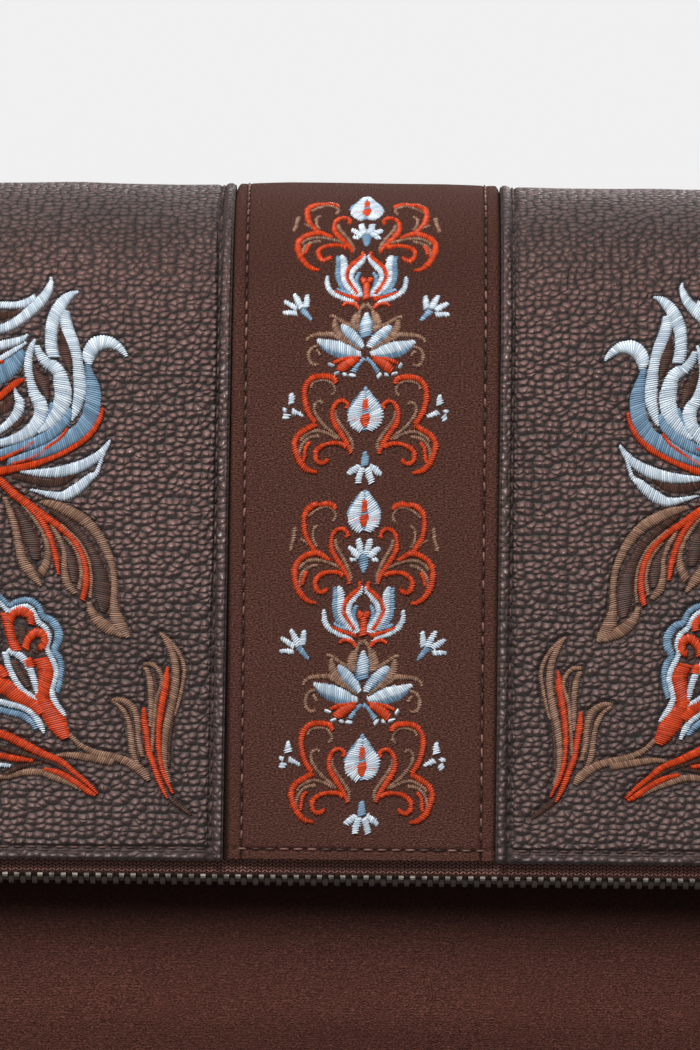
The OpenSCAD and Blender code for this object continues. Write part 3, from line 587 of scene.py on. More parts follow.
panelStrokes = {  # one half of each motif; x below 0 lies past its middle line, out of the picture
    "brown": [
        [(0, 316, 8), (10, 314.7, 6), (22, 311.5, 2)],
        [(62, 330, 2), (64, 342, 9), (66.5, 353, 12), (69, 365, 8), (71, 374, 1.5)],
        [(33, 364, 2), (37.5, 374, 8), (42.5, 383, 11), (46, 392, 7), (48, 400, 2)],
        [(0, 408, 14), (8, 405, 10), (13, 395, 3)], [(24, 416, 3), (18, 423, 6), (12, 427, 3)],
        [(12, 476, 5), (30, 479, 8), (46, 482.5, 9), (63, 481, 8), (76, 474, 2)],
        [(49.5, 509, 4), (67.5, 522.5, 8), (82.5, 537.5, 9), (93, 554, 10), (100.5, 575, 15), (103, 597.5, 17),
         (103, 613.5, 6)], [(61, 539, 4), (67.5, 551, 9), (72, 566, 12), (74, 582.5, 7)],
        [(15, 506, 4), (24, 522.5, 12), (31.5, 540.5, 16), (36, 560, 9)],
        [(22.5, 627, 6), (22.5, 637, 9), (22, 646, 5)], [(36, 646, 6), (35, 654, 7)],
        [(13, 661, 6), (20, 674, 10), (29, 688, 5)], [(154, 674, 4), (156, 690, 5), (154, 709, 5), (153, 728, 4)],
        [(0, 748, 4), (15, 752, 5), (31, 756, 5), (53.6, 763, 5), (69, 772.4, 5), (86, 785, 4)],
        [(0, 780, 3), (12, 771, 4), (26, 765, 4), (43, 763, 3)],
        [(161, 634, 2), (176, 657, 3), (179, 677, 3), (176, 700, 3), (170, 740, 3), (169, 768, 3)],
        [(113, 700.5, 2), (126, 706, 3), (132.5, 718, 3), (135, 738, 3), (140, 762, 2)],
        [(165, 790, 3), (172, 800, 5), (182, 808, 5), (192, 816, 1.5)],
    ],
    "blue": [
        [(87, 362, 4), (90, 374, 8), (93, 389, 14), (93, 404, 16), (88.5, 419, 17), (79.5, 431, 16), (66, 440, 15),
         (49.5, 449, 13), (30, 456, 10), (7.5, 462, 7)],
        [(72, 410, 6), (64.5, 422, 10), (52.5, 432.5, 12), (37.5, 441.5, 11), (15, 449, 9), (0, 453.5, 8)],
        [(52.5, 402.5, 3), (49.5, 414.5, 6), (40.5, 425, 7), (22.5, 435.5, 6), (0, 441.5, 5)],
        [(24, 351, 6), (14, 364, 16), (0, 374, 20)],
        [(0, 597, 5), (9, 605, 4), (16, 602, 5), (28, 600, 5), (38, 606, 5), (43, 616, 6), (52, 621, 7), (58, 630, 8),
         (58.5, 640, 8), (54.5, 650, 6), (59, 658, 6), (61.5, 668, 5), (60, 681, 5), (57, 693, 4)],
        [(0, 710, 6), (12, 713, 6), (23, 716, 6), (31, 722, 5), (37, 730, 4)],
        [(-22, 262, 2), (-22, 285, 12), (-22, 310, 18), (-22, 340, 20), (-22, 372, 14), (-22, 392, 4)],
    ],
    "tan": [
        [(40.5, 501.5, 3), (55.5, 505.5, 9), (72, 513, 10.5), (85.5, 521.5, 10.5), (98, 535.5, 9), (107, 552, 8),
         (112.5, 568.5, 6.5), (114.3, 586.5, 6), (114, 604.5, 8), (118, 622, 13), (124.5, 633, 9), (129.5, 638, 1.5)],
        [(88.5, 602, 4), (92, 612.5, 8), (99, 621.5, 11), (109.5, 629, 11), (124, 636.5, 4)],
        [(60, 524, 3), (78, 540.5, 3), (88.5, 560, 3), (91.5, 579.5, 3), (90, 599, 3)],
        [(51, 524, 3), (60, 540.5, 5), (64.5, 554, 5), (64.5, 569, 6), (67.5, 584, 8), (76, 594.5, 4)],
        [(64.5, 536, 3), (75, 548, 4), (80, 561.5, 4), (81.5, 575, 4), (79, 590, 4)],
        [(4.5, 497, 4), (10.5, 513.5, 6), (15.7, 530, 7), (18.7, 545, 7.5), (22.5, 560, 9), (30, 572, 10),
         (42, 587, 1.5)],
        [(22.5, 504.5, 3), (34.5, 519.5, 4), (43.5, 534.5, 4.5), (48, 549.5, 6), (46.5, 563, 7.5), (40.5, 575, 9)],
        [(69, 734, 4), (80, 745, 5), (95, 752.5, 6), (113, 757, 7), (130, 763, 8.5), (142, 772, 9), (149, 781, 4)],
        [(56, 755.5, 2), (69, 755, 5), (84, 757, 7), (98, 759, 8), (115, 762, 8)],
        [(160, 633, 2), (167, 639, 4), (173, 645, 4), (180.6, 656, 3.5), (184.5, 670, 3.5), (182, 688, 3.5),
         (177.6, 706.5, 3), (174.5, 716, 2)],
        [(163, 636, 3), (170, 648, 6), (174.5, 660.6, 7), (176, 676, 7), (174.5, 691, 7), (171.5, 706.5, 7),
         (167, 725, 7), (164.6, 746, 6.5), (165.3, 768, 5), (170, 783, 3)],
        [(143, 664, 3), (153, 665, 4), (160, 673, 4), (162, 684, 4), (156.5, 699, 4), (154.6, 716, 4),
         (153, 734, 3.5), (152, 752, 3)],
        [(145.5, 667, 4), (150, 680.5, 6), (151, 696, 6), (151, 712.7, 5), (150.5, 728, 4)],
        [(112, 699.6, 3), (122.5, 700.4, 5), (131.7, 706.5, 6), (136, 715.7, 6), (138, 728, 6), (138.5, 740, 5),
         (142.4, 757, 4)],
        [(113, 701, 3), (122.5, 709.6, 4), (128.6, 722, 5), (131, 737, 6), (133, 752.5, 6), (138, 765, 4)],
        [(0, 777, 4), (9, 777, 4), (24.5, 772.5, 6), (40, 772.5, 6.5), (53.6, 777, 6.5), (69, 783, 5.5),
         (82.7, 791, 2)],
    ],
    "white": [
        [(0, 329, 9), (12, 324.5, 9), (25.5, 314.7, 10.5), (37.5, 303.5, 11), (46.5, 293, 9), (51, 282.5, 5),
         (50.7, 275.7, 1)], [(0, 305, 7), (13.5, 305, 7), (25.5, 302.7, 8), (36, 296, 6)],
        [(79.4, 291.2, 1.5), (72, 293.7, 6.7), (64.4, 299.7, 11), (57.7, 309.5, 12.7), (52.5, 323, 12.7),
         (51.3, 335, 12), (51.3, 347, 12), (54, 357.5, 10.5)],
        [(66, 309.5, 7.5), (66, 320, 10.5), (68.2, 330.4, 12), (72, 341, 12), (75.7, 353, 10.5), (78, 365, 10.5),
         (79.4, 377, 12), (80.2, 389, 12.7), (78.7, 399.4, 11), (75.7, 410, 8), (72, 421, 1.5)],
        [(90, 366, 3), (88.5, 357, 12), (91.5, 349, 14), (98, 343.5, 15), (108, 342.3, 12), (117, 346, 8.5),
         (123.5, 352, 5.5), (127, 357, 1.5)],
        [(35.2, 338.7, 1.5), (31.5, 347, 6), (28.5, 359, 7.5), (28.5, 371, 8), (31, 383, 8), (35, 395, 11),
         (40, 403, 13), (41, 412, 14), (38, 422, 14), (30, 431, 13), (20, 437, 11), (9, 441, 9), (0, 443, 8)],
        [(36.7, 345, 5), (40, 354, 8), (46.5, 362.5, 10), (54.5, 367, 12), (60, 375, 13), (62.5, 387, 17),
         (62.5, 399, 17), (58.5, 411, 16), (51, 421, 13), (44, 428, 8), (38, 433, 1.5)],
        [(14.3, 386, 1.5), (16.5, 395, 5), (20, 403, 9), (17, 414, 10), (9, 423, 8), (0, 430, 7)],
        [(28.5, 334.2, 1.5), (22, 339, 6), (12, 342.5, 8), (0, 345.5, 9)], [(27, 342, 2), (15, 350, 5), (0, 359, 6)],
        [(110.5, 440, 1.5), (105, 449, 6), (95, 458.5, 9), (80, 466.5, 11), (62, 471.5, 11), (42, 473, 8),
         (20, 471.5, 2)],
        [(104, 452, 3), (97, 472, 4), (90, 478, 8), (82, 485, 10), (72, 492, 11), (62, 496, 9), (50, 494.5, 6),
         (30, 489.5, 1.5)],
        [(0, 603, 4), (8, 611, 5), (16, 608.5, 5), (27, 606.5, 5), (34, 613, 5), (38.5, 622, 5), (46, 629, 5),
         (49, 638, 5), (47.5, 649, 5), (53, 661, 5.5), (56.5, 672, 5.5), (54, 683, 5.5), (52, 693, 5.5), (56, 704, 6),
         (61, 711, 5), (66, 717, 2)], [(5, 652, 6), (8, 664, 6), (14, 677.5, 6), (23, 691, 6), (38, 700, 4)],
        [(7, 650, 6), (20, 656, 7), (29, 667, 7), (34, 680.5, 6), (39, 698, 5)],
        [(0, 702, 6), (12, 705, 6), (24.5, 708, 6), (34, 715.5, 6), (40, 725, 6), (44, 734, 2)],
        [(0, 765, 4), (11, 766, 3)],
        [(-22, 250, 2), (-17, 268, 6), (-10, 290, 9), (-8, 312, 8), (-11, 336, 6), (-19, 352, 3)],
        [(-22, 395, 2), (-16, 408, 7), (-11, 420, 8), (-22, 436, 5)],
    ],
    "orange": [
        [(24.5, 379.5, 3), (18, 382.5, 7), (9, 389, 7), (0, 397, 7)], [(0, 362, 4), (5, 361, 2)],
        [(103, 407.6, 3), (100, 419, 4.5), (93, 431, 5.5), (82.5, 441.5, 5.5), (67.5, 451, 5), (51, 458.6, 5),
         (30, 465.5, 7), (0, 471.5, 8)],
        [(68, 428.5, 3), (60, 438.5, 3.5), (49.5, 446, 3.5), (39, 453.5, 4), (28, 459, 4), (12, 464, 3)],
        [(35, 441.5, 3), (22.5, 449, 4), (10.5, 455, 4), (0, 459.5, 4)],
        [(0, 481, 8), (15, 495, 8), (30, 506, 8), (45, 517, 7), (60, 527.5, 6), (73.5, 540.5, 6), (82, 555.5, 6),
         (86, 572, 6.5), (85.5, 587, 6.5), (82.5, 600.5, 5)],
        [(27, 505, 5), (40, 519, 6), (48, 533, 6), (53, 546.5, 6), (56.5, 560, 6), (58.5, 575, 2)],
        [(5, 613, 9), (9, 628, 9), (12, 640, 9), (17, 652, 10)],
        [(9, 622, 8), (14, 613, 9), (22, 611, 11), (30, 616, 10), (31, 625, 7)],
        [(25, 650, 8), (28, 640, 8), (36, 633, 9), (44, 636, 9), (44, 645, 8), (38, 648, 6)],
        [(26, 658, 9), (31, 668, 9)],
        [(40, 658, 12), (46, 670, 15), (45, 684, 14), (42, 697, 14), (47, 707, 17), (55, 720, 20), (61, 731, 16),
         (66, 739, 8)], [(0, 685, 16), (10, 690, 16), (20, 697, 14), (34, 705, 12), (43, 714, 12)],
        [(0, 671, 10), (6, 678, 9)],
        [(167.6, 667, 2), (166, 682, 7), (163, 699, 7), (160, 716, 6.5), (158.5, 734, 5.5), (159.2, 752.5, 5),
         (163, 771, 5), (173, 794, 2)],
        [(144, 707.5, 3), (144.7, 722, 6.5), (147, 737, 6), (149.3, 752.5, 6), (154.6, 768, 5.5), (160.7, 784.6, 5),
         (167.6, 799, 2)],
        [(0, 734, 8), (15, 740, 8), (30.6, 748, 8), (46, 755.5, 7), (61, 761.7, 6), (73.5, 772, 5), (87, 783, 4),
         (98, 794, 2)], [(0, 756, 6), (15, 758.6, 6), (34, 761, 3)],
        [(44, 768.5, 3), (61, 774, 6), (76.5, 783, 6), (89, 792, 5.5), (96.5, 796, 2)],
    ],
}

stripStrokes = {  # the lower of the strip's two alike motifs, from its middle line outward
    "brown": [
        [(0, 736, 3), (0, 742, 4)],
    ],
    "blue": [
        [(0, 489, 2), (0, 494, 5), (0, 500, 9)], [(2, 492, 4), (7, 500, 5), (12.5, 508, 5), (16, 515, 3)],
        [(0, 500, 4), (0, 510, 9), (0, 522, 9), (0, 531, 4)],
        [(0, 553, 5), (0, 557, 9), (0, 562, 9), (0, 568, 6), (0, 574, 1.5)],
        [(30, 586.5, 2), (28.5, 592, 4), (28.5, 600, 5), (28.5, 608, 5.5), (27, 616, 5), (23.5, 623, 4.5),
         (19, 628, 3), (15, 631, 2)],
        [(6.1, 604.5, 2), (9.5, 611, 4), (9.5, 618, 4), (6.1, 625.7, 3.5), (3.9, 632.4, 2.5)],
        [(30.7, 623.4, 2), (24, 626.8, 3), (15, 629.6, 3)], [(53.6, 660.8, 1.5), (59.7, 653.6, 5), (65.3, 646.9, 7)],
        [(0, 654, 5), (0, 663, 14), (0, 671, 15), (0, 681, 8)],
        [(25, 667, 5), (18, 675, 12), (11, 682, 12), (4, 690, 8)],
        [(47, 687, 5), (36, 692, 14), (27, 695, 17), (18, 698, 15), (8, 701, 10)],
        [(0, 704, 4), (5, 708, 3.5), (9.5, 714, 4), (12.8, 719.4, 5)], [(0, 733, 2), (0, 739, 5), (0, 745, 8)],
        [(2, 739, 4), (7, 747, 5), (13, 755, 5), (17, 763, 3)],
        [(0, 748, 5), (0, 758, 10), (0, 770, 10), (0, 781, 4)], [(0, 800, 2), (0, 806, 6), (0, 812, 8), (0, 817, 6)],
    ],
    "tan": [
        [(32, 522.6, 2), (28.8, 517.6, 2), (30, 512, 2), (36.6, 507, 2), (43.3, 508.1, 2), (50, 512, 2),
         (56.7, 517.6, 2)], [(45.5, 525, 2), (50, 528.8, 2), (51.1, 535.5, 2), (50, 542.2, 2), (46.7, 547.7, 2)],
        [(69, 527, 3), (70, 534, 3), (71, 541, 3), (73, 548, 3), (72, 551, 3)],
        [(64.5, 539, 1.5), (57.8, 543, 1.5), (50, 550, 1.5)],
        [(28.8, 538.8, 3), (27.7, 546.6, 3), (23.2, 554.4, 3), (18.8, 562.2, 3), (15.4, 570, 3), (13.2, 576.7, 3),
         (14.3, 584.6, 2)],
        [(19.9, 569.5, 2.5), (28.8, 565.6, 2.5), (37.7, 562.2, 2.5), (45.5, 560.6, 2.5), (54.5, 561.1, 2.5),
         (62.3, 566.1, 2.5), (65.6, 571.2, 2.5)],
        [(45.5, 565, 2.5), (54.5, 567.8, 2.5), (61.2, 573.4, 2.5), (64, 581.2, 2.5), (64, 587.9, 2.5)],
        [(0, 640, 4), (3.5, 644, 3.5), (6.1, 648, 3), (7.3, 656, 3.5), (8.4, 663.6, 4), (8.4, 671, 4)],
        [(37.4, 656.4, 2), (33, 655.8, 2.5), (26.2, 660.3, 3), (19.5, 664.7, 3), (12.8, 668, 3), (6.7, 673, 2.5)],
        [(31.8, 658, 2), (31, 667, 7), (27.3, 676, 8), (20.6, 682.6, 6), (12.8, 689.3, 3), (5, 696, 2)],
        [(8, 650, 4), (10.5, 657, 7), (12, 664, 7), (10, 671, 5)],
        [(59.7, 687, 2), (57.5, 681.5, 2.5), (50.8, 678, 3.5), (41.9, 677, 4), (34, 677, 5), (28, 681, 3),
         (18, 688, 2)],
        [(46.3, 690.4, 2), (53, 692.6, 2.5), (57, 699, 3), (56.4, 707, 3), (52, 711.6, 2.5), (46.3, 710.5, 2)],
        [(50.8, 695, 2), (47.4, 698, 2), (45.2, 702.7, 2)],
        [(34.8, 744, 2), (30.4, 739, 2), (32.6, 732.3, 2), (38.2, 728.4, 2), (46, 728.4, 2), (52.7, 731.2, 2),
         (54.9, 736.7, 2)],
        [(42, 753.5, 2), (45.4, 750, 2), (50.4, 753.5, 2.5), (50.4, 761.3, 2.5), (46, 769, 2.5), (39.3, 777, 2.5),
         (31.5, 783.6, 2.5), (24.8, 789.2, 2)],
        [(29.8, 758, 3), (29.8, 764.6, 3), (25.9, 772.5, 3), (20.3, 780.3, 3), (15.8, 787, 3), (12.5, 793.7, 3),
         (13.6, 802.6, 2)],
        [(27, 789.2, 2.5), (34.8, 784.7, 2.5), (43.8, 781.4, 2.5), (51.6, 781.4, 2.5), (61.6, 787, 2.5),
         (65, 792.5, 2)],
        [(44.9, 785.8, 2.5), (56, 788, 2.5), (62.7, 794.8, 2.5), (65.5, 802.6, 2.5), (65, 809.3, 2)],
    ],
    "white": [
        [(1.5, 491, 3), (3.5, 498, 6), (6.5, 505, 10), (9, 512, 13), (9.5, 518, 14), (7.5, 525, 11), (3, 532, 5)],
        [(6, 538, 3), (5, 544, 5.5), (3.5, 550, 5.5), (2, 555, 5)],
        [(16.5, 547, 2), (12, 550, 5), (8, 554, 6), (4, 558, 5)], [(15, 559.5, 3), (7, 560, 3)],
        [(26, 586, 2), (23.5, 592, 6), (22.5, 600, 7), (22.8, 608, 7), (21.5, 616, 6.5), (17.5, 623, 6), (12, 629, 5),
         (7, 634, 3)],
        [(2.5, 585, 2), (3.5, 591, 4), (8.7, 598, 5), (14, 604.6, 5), (15.2, 611, 4.5), (14.5, 614, 4),
         (11.7, 620, 4), (7.3, 626.8, 4), (4, 633.5, 3)],
        [(39.6, 609, 1.5), (39.6, 616.7, 3.5), (37.4, 624.6, 4.5), (30.7, 631.3, 4), (21.8, 635.7, 3.5),
         (14, 638.5, 3.5), (9.5, 642.4, 2)], [(59.2, 630, 2), (59.7, 638, 5.5), (60.8, 647, 6)],
        [(73.1, 629.6, 2), (68.6, 638, 5.5), (64.2, 647, 6)], [(83.1, 638.5, 2), (76.5, 642.4, 4.5), (68.6, 648, 5)],
        [(84.3, 652, 2.5), (77.6, 652, 4), (68.6, 652.5, 4)],
        [(0, 650, 2), (0, 656, 6), (0, 663, 10), (0, 669, 11), (0, 675, 9)],
        [(25.7, 665.8, 2), (21, 670, 7), (16.2, 675, 9), (10, 682, 8), (5, 688.5, 6), (2, 693, 3)],
        [(49.7, 683.7, 2), (43, 687.5, 7), (35, 690.5, 11), (27.3, 692.5, 12), (19.5, 695.5, 11), (11.7, 698.5, 8),
         (4, 700, 4)], [(15, 725, 6), (12, 720, 5)], [(28.5, 723, 6), (29, 718, 5)], [(36.3, 714, 6), (33, 710, 4)],
        [(24, 722, 3), (18, 721, 3)],
        [(1.5, 738, 3), (3.5, 745, 6), (6.5, 752, 10), (9.5, 759, 14), (10, 766, 15), (8, 773, 12), (3, 780, 5)],
        [(74.4, 741, 2), (74, 747, 5), (74, 754, 6)], [(83.4, 757.4, 2), (78, 761, 5)], [(81, 770, 4), (78, 763, 6)],
        [(61, 766, 1.5), (68, 762.4, 3.5), (74, 760, 6)], [(2.5, 817, 5), (5.2, 826, 6), (6.9, 834.5, 4)],
        [(4.5, 815, 4), (11.4, 820.4, 6), (17.5, 825, 3)],
    ],
    "orange": [
        [(0, 499, 3), (0, 504, 6), (0, 509, 6), (0, 513, 3)], [(0, 513, 4), (0, 518, 11), (0, 523, 7), (0, 528, 2)],
        [(6, 522, 3), (10, 519.5, 5), (14, 521, 2)],
        [(28.2, 511, 2.5), (31, 506.4, 4.5), (37.7, 504.2, 5), (43.9, 505.3, 3.5), (50, 505.3, 5), (57.3, 511, 5),
         (60, 517.6, 4.5), (60, 527.6, 4.5), (57.8, 537.7, 4.5), (53.3, 545.5, 4), (47.8, 554.4, 4)],
        [(19.3, 538.8, 3), (16.5, 534.9, 3), (19.9, 529.9, 3.3), (25.4, 529.3, 3.3), (30.5, 533.2, 3.5),
         (32.7, 541, 3.8), (32.1, 550, 4.5), (27.7, 558.9, 5), (21, 568.9, 4.5), (15.4, 577.9, 3.5),
         (14.8, 584.6, 1.5)],
        [(33.3, 561, 3), (42.2, 555.5, 4.5), (47.8, 553.3, 5), (56.7, 555.5, 5), (64.5, 561, 5), (69, 570, 5.5),
         (68.4, 581.2, 5.5), (65.6, 590, 5.5), (60, 598, 5), (53.3, 602.4, 3.5), (46.7, 603.5, 1.5)],
        [(56.7, 571, 3), (60, 578, 3), (62, 587, 3)],
        [(19.9, 576.8, 4.5), (24.3, 573.4, 4), (33.3, 572.3, 3.3), (42.2, 574.5, 4), (47.8, 580, 4.5),
         (48.3, 586.8, 4.5), (44.4, 592.4, 4), (38.8, 591.3, 3.5), (35.5, 587.9, 2)],
        [(4.8, 581, 2), (4.2, 588, 4), (11, 594.6, 4.5), (17.6, 601.3, 4.5), (20.5, 609, 4.5), (19.5, 614, 4.5),
         (15, 622, 4.5), (8.4, 631, 4.5)], [(5.8, 611, 2), (3.5, 614, 5), (1, 618, 6)],
        [(0, 616, 6), (0, 624, 6.5), (0, 631, 7), (0, 637, 9)],
        [(33, 626.8, 1.5), (24, 630.7, 2.5), (15, 633.5, 3.5), (6, 636, 6)],
        [(24.6, 644.6, 1.5), (20.6, 640.7, 3), (14, 640.7, 4), (9.5, 643.5, 4), (6.7, 648, 2)],
        [(5, 702.7, 2), (15, 704.4, 3), (24, 706, 3.5), (33, 710, 2.5)],
        [(6, 705, 4), (13, 707.5, 8), (19, 711, 10), (24, 715.5, 9), (27, 719, 5)],
        [(29.2, 732.3, 4), (32.6, 725.6, 5), (42.6, 723.9, 5), (52.7, 725.6, 5), (59.4, 733.4, 5), (61, 744.6, 5),
         (58.8, 756.8, 5), (54.9, 765.8, 4.5), (49.3, 773.6, 4.5)],
        [(20.3, 758, 3), (17.5, 753.5, 3), (21.4, 749.6, 3.3), (27, 750, 3.5), (31.5, 755.7, 4), (33, 764.6, 4.5),
         (30.4, 773.6, 5), (24.8, 782.5, 5), (19.2, 791.4, 4.5), (15.8, 798, 4), (13.6, 803.7, 2)],
        [(48.2, 773.6, 4.5), (56, 778, 5), (66, 784.7, 5), (70.5, 793.7, 5.5), (68.3, 804.8, 5.5), (63.8, 813.8, 5.5),
         (57, 820.4, 4.5), (47, 822.7, 1.5)], [(54.9, 791.4, 3), (59.4, 798, 3), (60.5, 807, 3), (61.6, 812.6, 2)],
        [(18, 798, 4), (22.5, 794.2, 4), (31.5, 793, 3.3), (40.4, 794.8, 3.5), (48.2, 800.4, 4.5), (49.3, 808, 4.5),
         (46, 812.6, 4), (40.4, 812.6, 4), (36.5, 808.7, 2.5)], [(0, 746, 3), (0, 752, 7), (0, 757, 6), (0, 761, 3)],
        [(0, 761, 4), (0, 767, 12), (0, 772, 8), (0, 778, 2)], [(6, 771, 3), (10.5, 768, 5), (15, 770, 2)],
    ],
}

pixelSize = view["longSide"] / view["height"] / view["lens"] * (-bag["rollR"] - view["eye"][1])
embroidery = {"threadStep": 0.235, "pixel": pixelSize, "motifX": (bag["stripHalf"] + bag["flapHalf"]) / 2,
              "sewnPast": 22, "stripAxis": 361,
              "upperRows": ((489, 532, 585, 642, 701, 733, 781, 834), (196.5, 220, 254, 305, 355, 385.5, 431.5, 484)),
              "lift": {"brown": 0.0, "blue": 0.05, "tan": 0.1, "white": 0.14, "orange": 0.22},
              "panelSpread": 0.11, "stripSpread": 0.17, "whiteMore": 0.04,
              "nearStep": 0.6, "fromS": 40, "toX": 150, "far": 9, "press": 0.28, "pressWidth": 0.75}


def panelSpines(color):  # one half of the motif as (outward x, s, width), mirrored about its middle line
    lines = []
    for stroke in panelStrokes[color]:
        stroke = list(stroke)
        for end, inner in ((0, 1), (-1, -2)):
            x, y, w = stroke[end]
            if x == 0:
                slope = (stroke[inner][1] - y) / max(stroke[inner][0], 4)
                more = [(-11, y - slope * 7, w), (-embroidery["sewnPast"], y - slope * 8, w)]
                stroke = more[::-1] + stroke if end == 0 else stroke + more
        x, s = pixelToFlap([p[0] for p in stroke], [p[1] for p in stroke])
        width = np.array([p[2] for p in stroke]) * embroidery["pixel"]
        lines.append(np.stack([-x, s, width], 1))
        lines.append(np.stack([2 * embroidery["motifX"] + x, s, width], 1))
    return lines


def stripSpines(color):  # the strip's motif as (x, s, width), mirrored, at its own rows and at the upper rows
    lines = []
    for stroke in stripStrokes[color]:
        y = [p[1] for p in stroke]
        axis = [embroidery["stripAxis"]] * len(y)
        rows = (pixelToFlap(axis, y, True)[1], pixelToFlap(axis, np.interp(y, *embroidery["upperRows"]), True)[1])
        x, _, width = np.array(stroke).T * embroidery["pixel"]
        for across in ((1, -1) if x.any() else (1,)):
            lines += [np.stack([across * x, s, width], 1) for s in rows]
    return lines


threadRandom = np.random.default_rng(7)
satin = {"across": (-1, -0.78, -0.4, 0, 0.4, 0.78, 1), "slant": 0.28, "loose": (-0.7, 1.5), "between": -0.14,
         "least": 0.1, "low": 0.12, "swell": 0.2, "fullWidth": 2.4, "ridge": 0.06, "valley": -0.08, "foot": -0.15}


def satinPiece(name, color, lines, side, topOf, spread):  # rows of thread laid across each spine
    across, wide, lift = np.array(satin["across"]), len(satin["across"]), embroidery["lift"][color]
    verts, faces, shades, base = [], [], [], 0
    for line in lines:
        spine = spineOf(line, embroidery["threadStep"])
        count = len(spine)
        way = np.gradient(spine[:, :2], axis=0)
        way /= np.linalg.norm(way, axis=1, keepdims=True) + 1e-9
        normal = np.stack([-way[:, 1], way[:, 0]], 1)
        thread = np.arange(count) // 2
        ridge = np.arange(count) % 2 == 0
        loose = threadRandom.uniform(*satin["loose"], (thread[-1] + 1, 2))[thread] * spread
        half = spine[:, 2:3] / 2 + spread + np.where(ridge[:, None], loose, satin["between"])
        half = np.maximum(half, satin["least"])
        reach = np.where(across < 0, half[:, :1], half[:, 1:]) * across
        slant = satin["slant"] * reach
        flat = spine[:, None, :2] + normal[:, None] * reach[..., None] + way[:, None] * slant[..., None]
        width = np.clip(spine[:, 2] / satin["fullWidth"], 0, 1)[:, None]
        h = lift + (satin["low"] + satin["swell"] * width) * (1 - np.abs(across) ** 2.6)
        h = h + np.where(ridge, satin["ridge"], satin["valley"])[:, None]
        h[:, [0, -1]] = satin["foot"]
        h[[0, -1]] = satin["foot"]
        x, s = flat[..., 0].ravel(), flat[..., 1].ravel()
        h = h.ravel() + topOf(x, s)
        verts.append(np.stack(flapToSpace(x * side, s, h), 1))
        grid = base + np.arange(count * wide).reshape(count, wide)
        a, b, c, d = grid[:-1], np.roll(grid[:-1], -1, 1), np.roll(grid[1:], -1, 1), grid[1:]
        faces.append(np.stack([a, b, c, d], -1).reshape(-1, 4))
        # each thread takes a tone at random; the rows between threads are pushed towards the dark colour as painted
        # shade
        own = threadRandom.uniform(0.25, 1, thread[-1] + 1)[thread] * np.where(ridge, 1, 0.1)
        shades.append(np.repeat(own, wide))
        base += count * wide
    piece = threadPiece(name, np.vstack(verts), np.vstack(faces).tolist(), np.concatenate(shades))
    closeUp(piece, None, wide)
    dress(piece, color + "Thread", "flap", (), 60)


def nearSpines(lines, x, s):  # how far each point lies from the stitching, less than 0 under it
    points = np.vstack([spineOf(line, embroidery["nearStep"]) for line in lines])
    tree = kdtree.KDTree(len(points))
    for index, (px, ps, _) in enumerate(points):
        tree.insert((px, ps, 0), index)
    tree.balance()
    found = np.full(len(x), float(embroidery["far"]))
    for i in np.nonzero((s > embroidery["fromS"]) & (x < embroidery["toX"]))[0]:
        _, index, distance = tree.find((x[i], s[i], 0))
        found[i] = distance - points[index, 2] / 2
    return found


# painted shade on the hide, set by the arc from the crown
hideShadeAmounts = {"roll": (0.72, 23, 15), "low": (0.3, 103, 14), "back": (0.2, -20)}  # how dark, from where, over how far


def paintedHideShade(s):  # painted shade: the hide is darkened where it turns over the roll, on the lower front down to the hem, and a little behind
    dark, middle, reach = hideShadeAmounts["roll"]
    low, start, run = hideShadeAmounts["low"]
    behind, end = hideShadeAmounts["back"]
    tone = dark * np.exp(-((s - middle) / reach) ** 2) + low * np.clip((s - start) / run, 0, 1)
    return tone + behind * (s < end)


